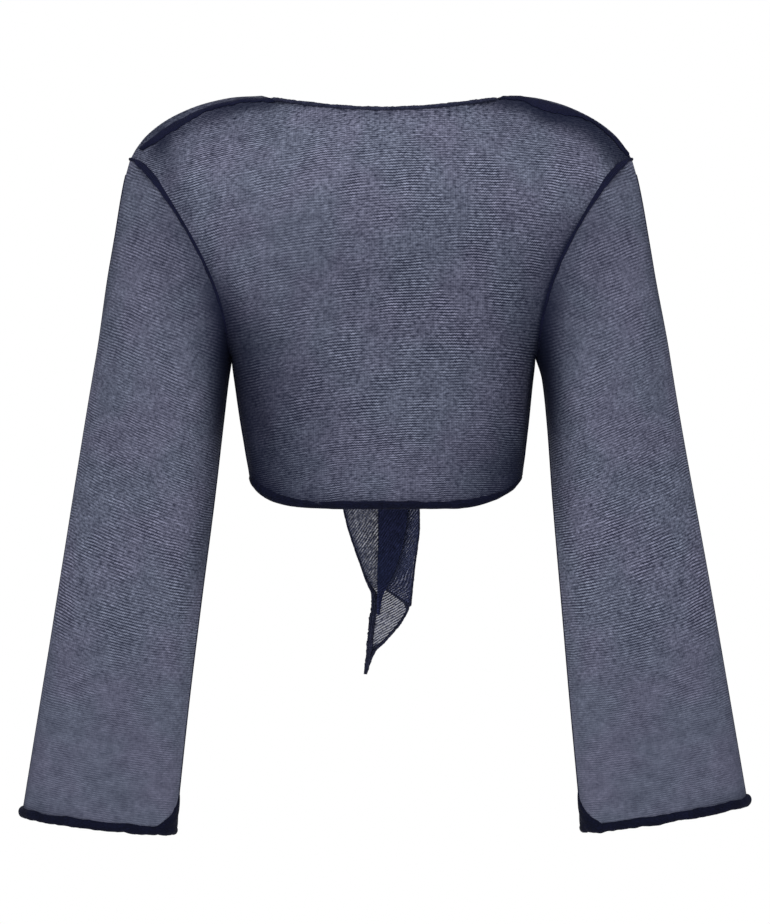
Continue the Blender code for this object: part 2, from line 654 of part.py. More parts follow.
# Round the armhole, each panel's edge and the sleeve's first ring are set apart by the gap. Both
# sleeves start on the same ring, so the frames of the left one serve the right one, mirrored.
arm_rows = slice(SIDE_STEPS, None)
ring, next_ring = sleeves["left"][0], sleeves["left"][1]
behind = np.arange(ARMHOLE_STEPS + 1)
before = np.concatenate([[0], np.arange(2 * ARMHOLE_STEPS - 1, ARMHOLE_STEPS - 1, -1)])
frames = {}
for name, panel, panel_in, order in (
    ("back", back, back_in, behind),
    ("front", front, front_in, before),
):
    frames[name] = seam_frames(
        unit(panel[arm_rows, -2] - panel[arm_rows, -1]),
        unit(next_ring[order] - ring[order]),
        panel_in[arm_rows, -1],
        sleeves_in["left"][0, order],
        unit(np.gradient(ring[order], axis=0)),
    )
in_seam_plane = np.array([1.0, 0.0, 1.0])
for end in (0, -1):
    for part in (0, 1):
        shared = unit((frames["back"][part][end] + frames["front"][part][end]) * in_seam_plane)
        frames["back"][part][end] = frames["front"][part][end] = shared
away = np.zeros_like(ring)
own_way = np.zeros_like(ring)
for name, order in (("back", behind), ("front", before)):
    away[order] += frames[name][0]
    own_way[order] += frames[name][2]
for side in sleeves:
    sleeves[side][0] += unit(away) * GAP / 2
    sleeves_in[side][0] = unit(own_way)
back[arm_rows, -1] -= frames["back"][0] * GAP / 2
back[arm_rows, 0] -= mirrored(frames["back"][0]) * GAP / 2
back_in[arm_rows, -1] = frames["back"][1]
back_in[arm_rows, 0] = mirrored(frames["back"][1])
front[arm_rows, -1] -= frames["front"][0] * GAP / 2
front_in[arm_rows, -1] = frames["front"][1]

# Back and front are set apart along the side and shoulder seams
back[side_rows, 0, 1] += GAP / 2
back[side_rows, -1, 1] += GAP / 2
back[-1, -SHOULDER_STEPS - 1 :, 1] += GAP / 2
back[-1, : SHOULDER_STEPS + 1, 1] += GAP / 2
front[side_rows, -1, 1] -= GAP / 2
front[-1, :, 1] -= GAP / 2

# Panels
wall("back", hung(back), hung(back + WALL * back_in), knit)
gathered = front - front_in * gathers(front, front_across)[..., None]
turns = {"left": np.copy, "right": mirrored}
for side, turned in turns.items():
    wall(f"front_{side}", hung(turned(gathered)), hung(turned(gathered + WALL * front_in)), knit)
    outer, inward = sleeves[side], sleeves_in[side]
    outside, inside = leaned(turned(outer)), leaned(turned(outer + WALL * inward))
    wall(f"sleeve_{side}", outside, inside, knit, ring=True)

# Hem roll, from the knot round the back to the knot
front_hem, front_hem_off = gathered[0], off_edge(gathered[0], gathered[1])
back_hem, back_hem_off = back[0], off_edge(back[0], back[1])
hem_front = roll_centres(front_hem, front_hem_off, front_in[0], HEM_ROLL, HEM_INSIDE)
hem_back = roll_centres(back_hem, back_hem_off, back_in[0], HEM_ROLL, HEM_INSIDE)
hem_side = corner_centre(
    (front_hem[-1], back_hem[-1]),
    (front_hem_off[-1], back_hem_off[-1]),
    (front_in[0, -1], back_in[0, -1]),
    HEM_ROLL,
    HEM_INSIDE,
)
hem_front[0] += (hem_front[1] - hem_front[0]) * HEM_START
half_hem = np.concatenate([hem_front[:-1], [hem_side]])
hem = np.concatenate([half_hem, hem_back[-2:0:-1], mirrored(half_hem[::-1])])
rolled_edge("hem_edge", hung(hem), HEM_ROLL, FULL_ROLL_SIDES, roll)

# Neck roll, from the knot up one front, round the back neck and down the other
neck_rows = slice(KNOT_STEPS, None)
front_neck = gathered[neck_rows, 0]
front_neck_off = off_edge(front_neck, gathered[neck_rows, 1])
front_neck_in = front_in[neck_rows, 0]
neck_columns = slice(SHOULDER_STEPS, SHOULDER_STEPS + NECK_STEPS + 1)
back_neck = back[-1, neck_columns]
back_neck_off = off_edge(back_neck, back[-2, neck_columns])
back_neck_in = back_in[-1, neck_columns]
neck_front = roll_centres(front_neck, front_neck_off, front_neck_in, NECK_ROLL, NECK_INSIDE)
neck_back = roll_centres(back_neck, back_neck_off, back_neck_in, NECK_ROLL, NECK_INSIDE)
neck_corner = corner_centre(
    (front_neck[-1], back_neck[-1]),
    (front_neck_off[-1], back_neck_off[-1]),
    (front_neck_in[-1], back_neck_in[-1]),
    NECK_ROLL,
    NECK_INSIDE,
)
neck_front[0] += (neck_front[1] - neck_front[0]) * NECK_START
half_neck = np.concatenate([neck_front[:-1], [neck_corner]])
neck = np.concatenate([half_neck, neck_back[-2:0:-1], mirrored(half_neck[::-1])])
rolled_edge("neck_edge", hung(neck), NECK_ROLL, THIN_ROLL_SIDES, roll)

# Cuff rolls
for side, turned in turns.items():
    edge, inward = sleeves[side][-1], sleeves_in[side][-1]
    off = off_edge(edge, sleeves[side][-2], closed=True)
    cuff = turned(roll_centres(edge, off, inward, CUFF_ROLL, CUFF_INSIDE))
    rolled_edge(f"cuff_edge_{side}", cuff, CUFF_ROLL, FULL_ROLL_SIDES, roll, closed=True)

# Tie
add("tie_knot", knot_mesh(), bound)
tail("tail_left", TAIL_LEFT, 0.0, loose)
tail("tail_right", TAIL_RIGHT, TAIL_END_CUT, loose)
tail("tail_right_fold", TAIL_RIGHT_FOLD, 0.0, loose)
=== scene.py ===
"""Cropped knit top with its front tied in a knot, seen from behind.

Sheer, fine navy knit with rolled edges. Sizes are in metres, +Z is up, the tied front faces -Y and
the wearer's left is +X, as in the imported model.
"""

import math

import bpy
import numpy as np
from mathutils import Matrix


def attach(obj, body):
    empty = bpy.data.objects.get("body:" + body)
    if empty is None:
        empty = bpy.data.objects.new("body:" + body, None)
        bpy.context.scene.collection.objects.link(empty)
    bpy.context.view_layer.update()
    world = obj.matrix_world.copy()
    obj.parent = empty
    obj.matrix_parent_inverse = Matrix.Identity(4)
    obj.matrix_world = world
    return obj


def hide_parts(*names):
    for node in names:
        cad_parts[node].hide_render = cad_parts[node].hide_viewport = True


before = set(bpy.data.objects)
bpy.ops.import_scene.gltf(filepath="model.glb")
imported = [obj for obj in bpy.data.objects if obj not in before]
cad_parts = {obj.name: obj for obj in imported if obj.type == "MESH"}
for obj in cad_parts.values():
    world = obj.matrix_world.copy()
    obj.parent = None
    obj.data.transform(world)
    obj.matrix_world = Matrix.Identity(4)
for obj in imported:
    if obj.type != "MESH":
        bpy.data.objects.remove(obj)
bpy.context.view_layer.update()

# Camera, ground and light. The top keeps its worn form in front of a plain pale ground and is seen
# level from behind, from a few metres away with a long lens.
CAMERA_AWAY = 3.6
CAMERA_PLACE = (-0.0013, CAMERA_AWAY, -0.3221)
SEEN_HEIGHT = 0.8131  # what the picture's 924 pixels take in at the middle of the top
FLOOR_LEVEL, FLOOR_RADIUS, FLOOR_SIDES = -1.6, 7.0, 128

camera_data = bpy.data.cameras.new("camera")
camera_data.lens = camera_data.sensor_width * CAMERA_AWAY / SEEN_HEIGHT
camera_data.clip_end = 100.0
camera = bpy.data.objects.new("camera", camera_data)
camera.location = CAMERA_PLACE
camera.rotation_euler = (math.pi / 2, 0.0, math.pi)
bpy.context.scene.collection.objects.link(camera)
bpy.context.scene.camera = camera
bpy.context.scene.view_settings.view_transform = "Standard"


def put(tree, kind, inputs=(), **settings):
    """Adds one shader node, with its settings, and its inputs set to values or linked to other nodes.
    Inputs are listed from the first, or given by name."""
    made = tree.nodes.new("ShaderNode" + kind)
    for name, value in settings.items():
        setattr(made, name, value)
    for name, value in inputs.items() if isinstance(inputs, dict) else enumerate(inputs):
        if isinstance(value, bpy.types.Node):
            value = value.outputs[0]
        if isinstance(value, bpy.types.NodeSocket):
            tree.links.new(value, made.inputs[name])
        else:
            made.inputs[name].default_value = value
    return made


def linear(colour):
    """An sRGB hex colour as linear red, green, blue and alpha."""
    steps = np.array([int(colour[i : i + 2], 16) for i in (1, 3, 5)]) / 255
    light = np.where(steps <= 0.04045, steps / 12.92, ((steps + 0.055) / 1.055) ** 2.4)
    return (*light.tolist(), 1.0)


world = bpy.data.worlds.new("studio")
world.use_nodes = True
air = world.node_tree
air.nodes.clear()
seen = put(air, "Background", {"Color": linear("#ffffff"), "Strength": 1.0})
soft = put(air, "Background", {"Color": linear("#f4f6ff"), "Strength": 0.55})
ray = put(air, "LightPath")
both = put(air, "MixShader", [ray.outputs["Is Camera Ray"], soft, seen])
put(air, "OutputWorld", {"Surface": both})
bpy.context.scene.world = world

turn = np.linspace(0, math.tau, FLOOR_SIDES, endpoint=False)
rim = np.stack([np.cos(turn), np.sin(turn), np.zeros(FLOOR_SIDES)], axis=1) * FLOOR_RADIUS
floor_mesh = bpy.data.meshes.new("floor")
floor_mesh.from_pydata((rim + [0, 0, FLOOR_LEVEL]).tolist(), [], [list(range(FLOOR_SIDES))])
floor = bpy.data.objects.new("floor", floor_mesh)
bpy.context.scene.collection.objects.link(floor)
paper = bpy.data.materials.new("matt_studio_paper")  # plain pale paper, no sheen
paper.use_nodes = True
paper.node_tree.nodes["Principled BSDF"].inputs["Base Color"].default_value = linear("#f7f7f7")
paper.node_tree.nodes["Principled BSDF"].inputs["Roughness"].default_value = 1.0
floor_mesh.materials.append(paper)

# Name, place, what it points at, width, height and watts of each soft light. The large one beside
# the camera lights the back; those at the sides and in front keep the other views from going dark.
for name, place, aim, width, height, watts in (
    ("key", (0.2, 2.7, 2.8), (0, 0, -0.30), 2.4, 1.8, 84.0),
    ("fill", (0.4, 4.0, -0.3), (0, 0, -0.32), 1.6, 1.6, 12.0),
    ("front", (0.4, -3.6, 1.4), (0, 0, -0.32), 2.6, 2.2, 48.0),
):
    lamp = bpy.data.lights.new(name, "AREA")
    lamp.shape, lamp.size, lamp.size_y, lamp.energy = "RECTANGLE", width, height, watts
    light = bpy.data.objects.new(name, lamp)
    light.location = place
    way = np.array(aim) - np.array(place)
    flat_way = math.hypot(way[0], way[1])
    light.rotation_euler = (math.atan2(flat_way, -way[2]), 0.0, math.atan2(way[1], way[0]) - math.pi / 2)
    bpy.context.scene.collection.objects.link(light)

# Back. One panel of sheer weft-knitted navy jersey, cut with a wide shallow neck, held out by the
# worn form: it rounds over the shoulders and round the ribs to the side seams.
CLOTH = 0.0010  # thickness of one layer
# How many steps of the grid go to each edge of a panel
SIDE_STEPS, ARMHOLE_STEPS, SHOULDER_STEPS, NECK_STEPS = 27, 63, 36, 40
HEM_ROLL = 0.0047  # radius of the rolled hem
TUCK = 0.0030  # how far a panel runs on into its rolled edge
HEM_LIFT = 2 * HEM_ROLL - TUCK  # from the underside of the roll up to the panel's own edge
# The worn form, level by level: half its width at the side seams, and how far it stands out behind
# and in front. Its middle part rounds away over half widths of its own, the girths.
LEVEL_HEIGHTS = (-0.356, -0.320, -0.285, -0.250, -0.2297, -0.140, -0.060, 0.010)
HALF_WIDTHS = (0.1180, 0.1214, 0.1262, 0.1305, 0.1333, 0.1333, 0.1333, 0.1333)
STANDS = {
    "back": (0.074, 0.074, 0.077, 0.081, 0.084, 0.093, 0.090, 0.084),
    "front": (0.082, 0.086, 0.092, 0.100, 0.104, 0.103, 0.084, 0.070),
}
SIDE_ROUNDING, SHOULDER_ROUNDING, ROUNDING_START, SIDE_SHARE = 2.5, 0.62, -0.150, 0.55
GIRTH_HEIGHTS = (-0.356, -0.285, -0.230, -0.170, -0.110, -0.050, 0.010)
GIRTHS = (0.1180, 0.1275, 0.1430, 0.1740, 0.2060, 0.2260, 0.2300)
# The line along the top of the shoulders: distances out, and heights there
RIDGE_OUTS = (0.0, 0.050, 0.090, 0.107, 0.128, 0.152, 0.1808, 0.2046, 0.2145, 0.2208)
RIDGE_HEIGHTS = (
    0.0410, 0.0320, 0.0110, 0.0003, -0.0008, -0.0055, -0.0168, -0.0332, -0.0450, -0.0559,
)
NECK_POINT = 0.107
NECK_SHARES = (0.0, 0.20, 0.37, 0.53, 0.70, 0.86, 1.0)  # of the neck point's distance out
NECK_DROPS = (0.0170, 0.0160, 0.0149, 0.0129, 0.0101, 0.0068, 0.0)
TIP = (0.2208, -0.0559)  # shoulder tip, as distance out and height
ARMPIT = (0.1333, -0.2297)
ARMHOLE_BOW, SHOULDER_SWELL = 0.0205, 0.015
HEM_BACK, HEM_SIDE_RISE, HEM_CURVE = -0.3651, 0.0228, 6
HEM_NOTCH = (0.76, 0.12, 0.0013)  # the right corner's place and width as shares, and its rise
HEM_SWING, SHOULDER_LEAN = -0.0024, 0.0022
LEAN_OUTS, LEAN_TOP = (0.107, 0.190), -0.150
ASIDE, BEHIND, UP = np.eye(3)  # towards the wearer's left, towards their back, and up
# Courses, the rows of stitches: their spacing on the back, level by level. The real rows are about
# half as far apart; they are drawn this coarse because the picture shows no finer ones.
COURSE_LEVELS = (0.0, 0.030, 0.056, 0.083, 0.2675, 0.294, 0.320, 0.400)
COURSES = (0.0018, 0.00185, 0.0022, 0.00246, 0.00246, 0.0022, 0.0019, 0.0019)
WALE = 0.0022  # spacing of the columns of stitches
COURSE_TILT, COURSE_ARCH = 0.07, 0.55  # how the rows slope and arch across the back


def smooth_through(knots, values, at):
    """A smooth curve through the values that never overshoots them (monotone cubic)."""
    knots, values = np.asarray(knots, float), np.asarray(values, float)
    steps = np.diff(knots)
    slopes = np.diff(values) / steps
    before, after = slopes[:-1], slopes[1:]
    same_way = before * after > 0
    weights = (2 * steps[1:] + steps[:-1], steps[1:] + 2 * steps[:-1])
    safe_before = np.where(same_way, before, 1.0)
    safe_after = np.where(same_way, after, 1.0)
    mean = sum(weights) / (weights[0] / safe_before + weights[1] / safe_after)
    tangents = np.concatenate([slopes[:1], np.where(same_way, mean, 0.0), slopes[-1:]])
    at = np.clip(np.asarray(at, float), knots[0], knots[-1])
    index = np.clip(np.searchsorted(knots, at, side="right") - 1, 0, len(steps) - 1)
    width = steps[index]
    share = (at - knots[index]) / width
    rest = 1 - share
    return (
        values[index] * (1 + 2 * share) * rest**2
        + tangents[index] * width * share * rest**2
        + values[index + 1] * (3 - 2 * share) * share**2
        - tangents[index + 1] * width * share**2 * rest
    )


def unit(vectors):
    """The vectors, each divided by its length."""
    return vectors / np.maximum(np.linalg.norm(vectors, axis=-1, keepdims=True), 1e-12)


def ease(share):
    """3 s^2 - 2 s^3 of a share held between 0 and 1, so it starts and ends smoothly."""
    share = np.clip(share, 0, 1)
    return share * share * (3 - 2 * share)


def lower(heights, start, drop):
    """0 above the start height, easing to 1 at a drop below it."""
    return ease((start - heights) / drop)


def stepped(heights, first, *steps):
    """A value that changes down the cloth: the first, plus each step's size, which eases in below
    its start height over its drop."""
    return first + sum(size * lower(heights, start, drop) for size, start, drop in steps)


def falling(distance, reach, power=2):
    """1 where there is no distance, then less: exp(-(distance / reach)^power)."""
    return np.exp(-np.abs(distance / reach) ** power)


def together(*shades):
    """Several shades at once, as how dark the cloth looks: 1 less the product of 1 - shade."""
    return 1 - math.prod(1 - shade for shade in shades)


def ridge(out):
    """Height of the line along the top of the shoulders, at a distance out from the middle."""
    return smooth_through(RIDGE_OUTS, RIDGE_HEIGHTS, np.abs(out))


def half_width(height):
    """Half the form's width: the side seam below the armpit, and above it the straight line to the
    shoulder tip plus a sine swell."""
    below = smooth_through(LEVEL_HEIGHTS, HALF_WIDTHS, height)
    share = np.clip((height - ARMPIT[1]) / (TIP[1] - ARMPIT[1]), 0, 1)
    above = ARMPIT[0] + (TIP[0] - ARMPIT[0]) * share
    above = above + SHOULDER_SWELL * np.sin(math.pi * share * 0.97) ** 0.8
    return np.where(height <= ARMPIT[1], below, above)


def stand_out(out, height, side):
    """Depth of the cloth: the level's deepest place, times (1 - across^2.5)^(1/2) towards the
    sides, times (1 - up^2)^0.62 towards the line of the shoulders."""
    deepest = smooth_through(LEVEL_HEIGHTS, STANDS[side], height)
    at_side = np.clip(np.abs(out) / half_width(height), 0, 1)
    in_middle = np.clip(np.abs(out) / smooth_through(GIRTH_HEIGHTS, GIRTHS, height), 0, 1)
    share = ease((at_side - SIDE_SHARE) / (1 - SIDE_SHARE))
    across = (1 - share) * in_middle + share * at_side
    up = np.clip((height - ROUNDING_START) / (ridge(out) - ROUNDING_START), 0, 1)
    return deepest * np.sqrt(1 - across**SIDE_ROUNDING) * (1 - up**2) ** SHOULDER_ROUNDING


def armhole_line(angles):
    """The armhole seam seen from behind: a straight line from armpit to shoulder tip, bent towards
    the body by a sine."""
    toward_tip = (1 + np.cos(angles)) / 2
    out = ARMPIT[0] + (TIP[0] - ARMPIT[0]) * toward_tip
    height = ARMPIT[1] + (TIP[1] - ARMPIT[1]) * toward_tip
    return out - ARMHOLE_BOW * np.sin(angles) * (1 - (1 - toward_tip) ** 6), height


def edge_line():
    """A panel's outer edge seen from behind: up the side seam, then up the armhole."""
    start = HEM_BACK + HEM_SIDE_RISE + HEM_LIFT
    heights = np.linspace(start, ARMPIT[1], SIDE_STEPS + 1)
    arm_out, arm_height = armhole_line(np.arccos(np.linspace(-1, 1, ARMHOLE_STEPS + 1)))
    return np.append(half_width(heights)[:-1], arm_out), np.append(heights[:-1], arm_height)


def shoulder_outs():
    """Distances out along the shoulder seam, closer together towards the sleeve."""
    start = math.asin(NECK_POINT / TIP[0])
    return TIP[0] * np.sin(np.linspace(start, math.pi / 2, SHOULDER_STEPS + 1))


def back_points():
    """The back's outer points: rows up from the hem, each row the same shares of the half width,
    at the depth of the form."""
    shoulder = shoulder_outs()
    neck = np.linspace(-NECK_POINT, NECK_POINT, NECK_STEPS + 1)
    top_out = np.concatenate([-shoulder[:0:-1], neck, shoulder[1:]])
    over_neck = np.clip(np.abs(top_out) / NECK_POINT, 0, 1)
    neck_height = ridge(NECK_POINT) - smooth_through(NECK_SHARES, NECK_DROPS, over_neck)
    top_height = np.where(np.abs(top_out) < NECK_POINT, neck_height, ridge(top_out))
    across = top_out / TIP[0]
    edge_out, edge_height = edge_line()
    up = (edge_height - edge_height[0]) / (edge_height[-1] - edge_height[0])
    bottom = HEM_BACK + HEM_SIDE_RISE * np.abs(across) ** HEM_CURVE + HEM_LIFT
    corner_at, corner_wide, corner_rise = HEM_NOTCH
    bottom = bottom + corner_rise * falling(across + corner_at, corner_wide) * (1 - across**8)
    out = across[None, :] * edge_out[:, None]
    height = (1 - up[:, None]) * bottom[None, :] + up[:, None] * top_height[None, :]
    return np.stack([out, stand_out(out, height, "back"), height], axis=-1)


def relaxed(points, rounds):
    """The grid with its edges kept and each inner point's depth moved, round by round, to the mean
    of its four neighbours' depths, which takes out creases that a worn cloth hasn't."""
    points = points.copy()
    depth = points[..., 1]
    for _ in range(rounds):
        depth[1:-1, 1:-1] = (
            depth[:-2, 1:-1] + depth[2:, 1:-1] + depth[1:-1, :-2] + depth[1:-1, 2:]
        ) / 4
    return points


def grid_normals(points, ring=False):
    """Unit vectors square to a grid: the cross product of the differences along its two ways."""
    if ring:
        round_way = np.roll(points, -1, axis=1) - np.roll(points, 1, axis=1)
    else:
        round_way = np.gradient(points, axis=1)
    return unit(np.cross(round_way, np.gradient(points, axis=0)))


def turned_to(normals, way):
    """The normals, each turned round if it points away from the given way."""
    return normals * np.where(np.sum(normals * way, axis=-1, keepdims=True) < 0, -1.0, 1.0)


def soft_folds(points, outward, folds):
    """The grid moved out along its normals by soft ridges and troughs, seen from behind or before.

    A fold runs from one place to another as (out, height, out, height, half width, rise): its rise
    times exp(-(distance from the line / half width)^2), fading over its ends by a cosine.
    """
    rise = np.zeros(points.shape[:2])
    for out_a, height_a, out_b, height_b, half, lift in folds:
        run = np.array([out_b - out_a, height_b - height_a])
        length = float(np.hypot(*run))
        run = run / length
        gap = np.stack([points[..., 0] - out_a, points[..., 2] - height_a], axis=-1)
        along = gap @ run / length
        aside = gap @ np.array([-run[1], run[0]])
        fade = np.cos(np.clip(along - 0.5, -0.7, 0.7) * math.pi / 1.4) ** 2
        rise += lift * falling(aside, half) * fade
    return points + outward * rise[..., None]


def leaned(points):
    """The points with the lean of the shoulders: a sideways shift that eases in outwards and up."""
    outward = ease((np.abs(points[..., 0]) - LEAN_OUTS[0]) / (LEAN_OUTS[1] - LEAN_OUTS[0]))
    upward = ease((points[..., 2] - ARMPIT[1]) / (LEAN_TOP - ARMPIT[1]))
    moved = points.copy()
    moved[..., 0] += SHOULDER_LEAN * outward * upward
    return moved


def hung(points):
    """The points with the lean of the shoulders and the body's swing, eased in towards the hem."""
    moved = leaned(points)
    moved[..., 0] += HEM_SWING * ease((ARMPIT[1] - points[..., 2]) / (ARMPIT[1] - HEM_BACK))
    return moved


def row_lengths(points):
    """Length along each row of a grid from its first point, so stitches keep their size."""
    steps = np.linalg.norm(np.diff(points, axis=1), axis=-1)
    return np.concatenate([np.zeros((len(points), 1)), np.cumsum(steps, axis=1)], axis=1)


def counted(levels, spacings, at):
    """How many rows of the given spacings lie between level 0 and a level: the sum of 1/spacing."""
    fine = np.linspace(-0.8, 1.2, 4001)
    count = np.cumsum(1 / smooth_through(levels, spacings, fine)) * (fine[1] - fine[0])
    return np.interp(at, fine, count)


def add_piece(name, points, faces, corners_uv, material, nodes, looks=()):
    """A mesh from arrays, with a UV map counted in stitches, put on the body and in place of the
    nodes it stands for. Looks are values from 0 to 1 for each point that its material reads."""
    mesh = bpy.data.meshes.new(name)
    mesh.from_pydata(points.tolist(), [], faces)
    layer = mesh.uv_layers.new(name="stitches")
    layer.data.foreach_set("uv", np.asarray(corners_uv, np.float32).ravel())
    for look, values in dict(looks).items():
        held = mesh.attributes.new(look, "FLOAT", "POINT")
        held.data.foreach_set("value", np.clip(values, 0, 1).astype(np.float32).ravel())
    mesh.shade_smooth()
    mesh.materials.append(material)
    piece = bpy.data.objects.new(name, mesh)
    bpy.context.scene.collection.objects.link(piece)
    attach(piece, "root")
    if nodes:
        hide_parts(*nodes)
    return piece


def ends_joined(grid, axis):
    """The grid with its first row or column once more at its end."""
    return np.concatenate([grid, grid.take([0], axis)], axis)


def sheet_piece(name, grid, stitches, outward, material, nodes, looks=(), ring=False, wall=CLOTH):
    """One layer of cloth over a grid of points. Faces turn outwards, and Solidify gives the wall
    inwards. On a ring the last column of stitches closes onto the first column of points."""
    index = np.arange(grid[..., 0].size).reshape(grid.shape[:2])
    if ring:
        index = ends_joined(index, 1)
    place = np.arange(index.size).reshape(index.shape)
    turns = [
        np.stack([a[:-1, :-1], a[:-1, 1:], a[1:, 1:], a[1:, :-1]], axis=-1).reshape(-1, 4)
        for a in (index, place)
    ]
    flat = grid.reshape(-1, 3)
    corners = flat[turns[0]]
    facing = np.cross(corners[:, 1] - corners[:, 0], corners[:, 3] - corners[:, 0])
    if np.sum(facing * outward.reshape(-1, 3)[turns[0][:, 0]]) < 0:
        turns = [way[:, ::-1] for way in turns]
    uv = stitches.reshape(-1, 2)[turns[1]]
    piece = add_piece(name, flat, turns[0].tolist(), uv, material, nodes, looks)
    thick = piece.modifiers.new("wall", "SOLIDIFY")
    thick.thickness, thick.offset, thick.use_even_offset = wall, -1.0, True
    return piece


# What each unevenness of the knit repeats over, on cloth with stitches a wale wide: rows wander,
# break up into single stitches, give way to ribs, lie looser or denser, and turn in colour
WANDER, SINGLE, RIBBED, LOOSE, TINGED = 0.03143, 0.0020, 0.03667, 0.01467, 0.06286


def knit_material(name, yarn, haze, tinge, contrast, level, patchiness, see_through=0.0, gloss=0.25):
    """Fine weft-knitted yarn, by columns (u) and rows (v) of stitches on the stitches map.

    Rows are a cosine of v, bent a little by each stitch's arch, a cosine of u, and by slow noise.
    Where patches of another noise let them go, ribs, which are that arch alone, show instead. Noise
    along the rows breaks them into single stitches, and one more makes loose and close-knit patches.
    All that is how much haze shows between the yarn, a haze that slow noise turns to its tinge, and
    see_through is how much light it lets through. Three looks of the piece change it: dense, which
    is painted shade, hides the haze and so darkens the cloth, plain takes rows and ribs away, and
    matted swaps rows for single stitches.
    """
    material = bpy.data.materials.new(name)
    material.use_nodes = True
    tree = material.node_tree
    shader = tree.nodes["Principled BSDF"]
    shader.inputs["Roughness"].default_value = 0.85
    shader.inputs["Specular IOR Level"].default_value = gloss
    stitches = put(tree, "UVMap", uv_map="stitches")
    painted_shade = put(tree, "Attribute", attribute_name="painted_shade").outputs["Fac"]
    plain = put(tree, "Attribute", attribute_name="plain").outputs["Fac"]
    matted = put(tree, "Attribute", attribute_name="matted").outputs["Fac"]
    column, row = put(tree, "SeparateXYZ", [stitches]).outputs[:2]

    wander = put(tree, "TexNoise", {"Vector": stitches, "Scale": WALE / WANDER, "Detail": 1.0})
    bent = put(tree, "MapRange", [wander, 0.0, 1.0, -0.8, 0.8])
    columns = put(tree, "Math", [column, math.tau], operation="MULTIPLY")
    arch = put(tree, "Math", [columns], operation="COSINE")
    arched = put(tree, "Math", [arch, 0.09, bent], operation="MULTIPLY_ADD")
    bent_row = put(tree, "Math", [row, arched], operation="ADD")
    rows = put(tree, "Math", [bent_row, math.tau], operation="MULTIPLY")
    wave = put(tree, "Math", [rows], operation="COSINE")

    cells = put(tree, "Mapping", {"Vector": stitches, "Scale": (0.5, 1.0, 1.0)}, vector_type="POINT")
    grain = {"Vector": cells, "Scale": WALE / SINGLE, "Detail": 1.0, "Roughness": 0.7}
    broken = put(tree, "TexNoise", grain)
    spark = put(tree, "MapRange", [broken, 0.3, 0.7, -0.56, 0.65], clamp=False)
    patterned = put(tree, "Math", [1.0, plain], operation="SUBTRACT")
    coarse = put(tree, "Math", [matted, 0.45, patterned], operation="MULTIPLY_ADD")
    dash = put(tree, "Math", [spark, coarse, 1.0], operation="MULTIPLY_ADD")

    ribbed = {"Vector": stitches, "Scale": WALE / RIBBED, "Detail": 2.0, "Roughness": 0.6}
    patch = put(tree, "TexNoise", ribbed)
    fading = put(tree, "MapRange", [patch, 0.36, 0.62, 0.15, 1.15])
    rowed = put(tree, "Math", [matted, -0.75, patterned], operation="MULTIPLY_ADD")
    row_share = put(tree, "Math", [fading, rowed], operation="MULTIPLY")
    swing = put(tree, "Math", [wave, row_share], operation="MULTIPLY")
    rib_share = put(tree, "Math", [patterned, row_share], operation="SUBTRACT")
    ribs = put(tree, "Math", [arch, rib_share], operation="MULTIPLY")
    both_ways = put(tree, "Math", [ribs, 0.16, swing], operation="MULTIPLY_ADD")
    lifted = put(tree, "Math", [both_ways, contrast, 1.0], operation="MULTIPLY_ADD")
    dashed = put(tree, "Math", [lifted, dash], operation="MULTIPLY")

    cloudy = {"Vector": stitches, "Scale": WALE / LOOSE, "Detail": 3.0, "Roughness": 0.7}
    cloud = put(tree, "TexNoise", cloudy)
    loose = put(tree, "MapRange", [cloud, 0.3, 0.7, 1 - patchiness, 1 + patchiness], clamp=False)
    uneven = put(tree, "Math", [dashed, loose], operation="MULTIPLY")
    amount = put(tree, "Math", [uneven, level], operation="MULTIPLY")
    open_share = put(tree, "Math", [1.0, painted_shade], operation="SUBTRACT")
    shown = put(tree, "Math", [amount, open_share], operation="MULTIPLY", use_clamp=True)

    slow = put(tree, "TexNoise", {"Vector": stitches, "Scale": WALE / TINGED, "Detail": 2.0})
    turned = put(tree, "MapRange", [slow, 0.40, 0.60, 0.0, 1.0])
    hazes = {0: turned, 6: linear(haze), 7: linear(tinge)}
    pale = put(tree, "Mix", hazes, data_type="RGBA").outputs[2]
    colours = {0: shown, 6: linear(yarn), 7: pale}
    colour = put(tree, "Mix", colours, data_type="RGBA").outputs[2]
    tree.links.new(colour, shader.inputs["Base Color"])
    if see_through:
        clear = put(tree, "Math", [shown, see_through], operation="MULTIPLY")
        solid = put(tree, "Math", [1.0, clear], operation="SUBTRACT")
        tree.links.new(solid.outputs[0], shader.inputs["Alpha"])
    bump = put(tree, "Bump", {"Height": lifted, "Distance": 0.00025, "Strength": 0.6})
    tree.links.new(bump.outputs[0], shader.inputs["Normal"])
    return material


# Viscose jersey in navy, so openly knitted that pale haze shows between the dark rows of yarn. This
# cloth is drawn opaque, so that haze is painted light: it stands for a light ground behind showing through.
body_knit = knit_material(
    "weft_knitted_viscose", yarn="#10152a", haze="#b0b7cd", tinge="#b5b6cf", contrast=0.88, level=0.269,
    patchiness=0.26, gloss=0.08,
)

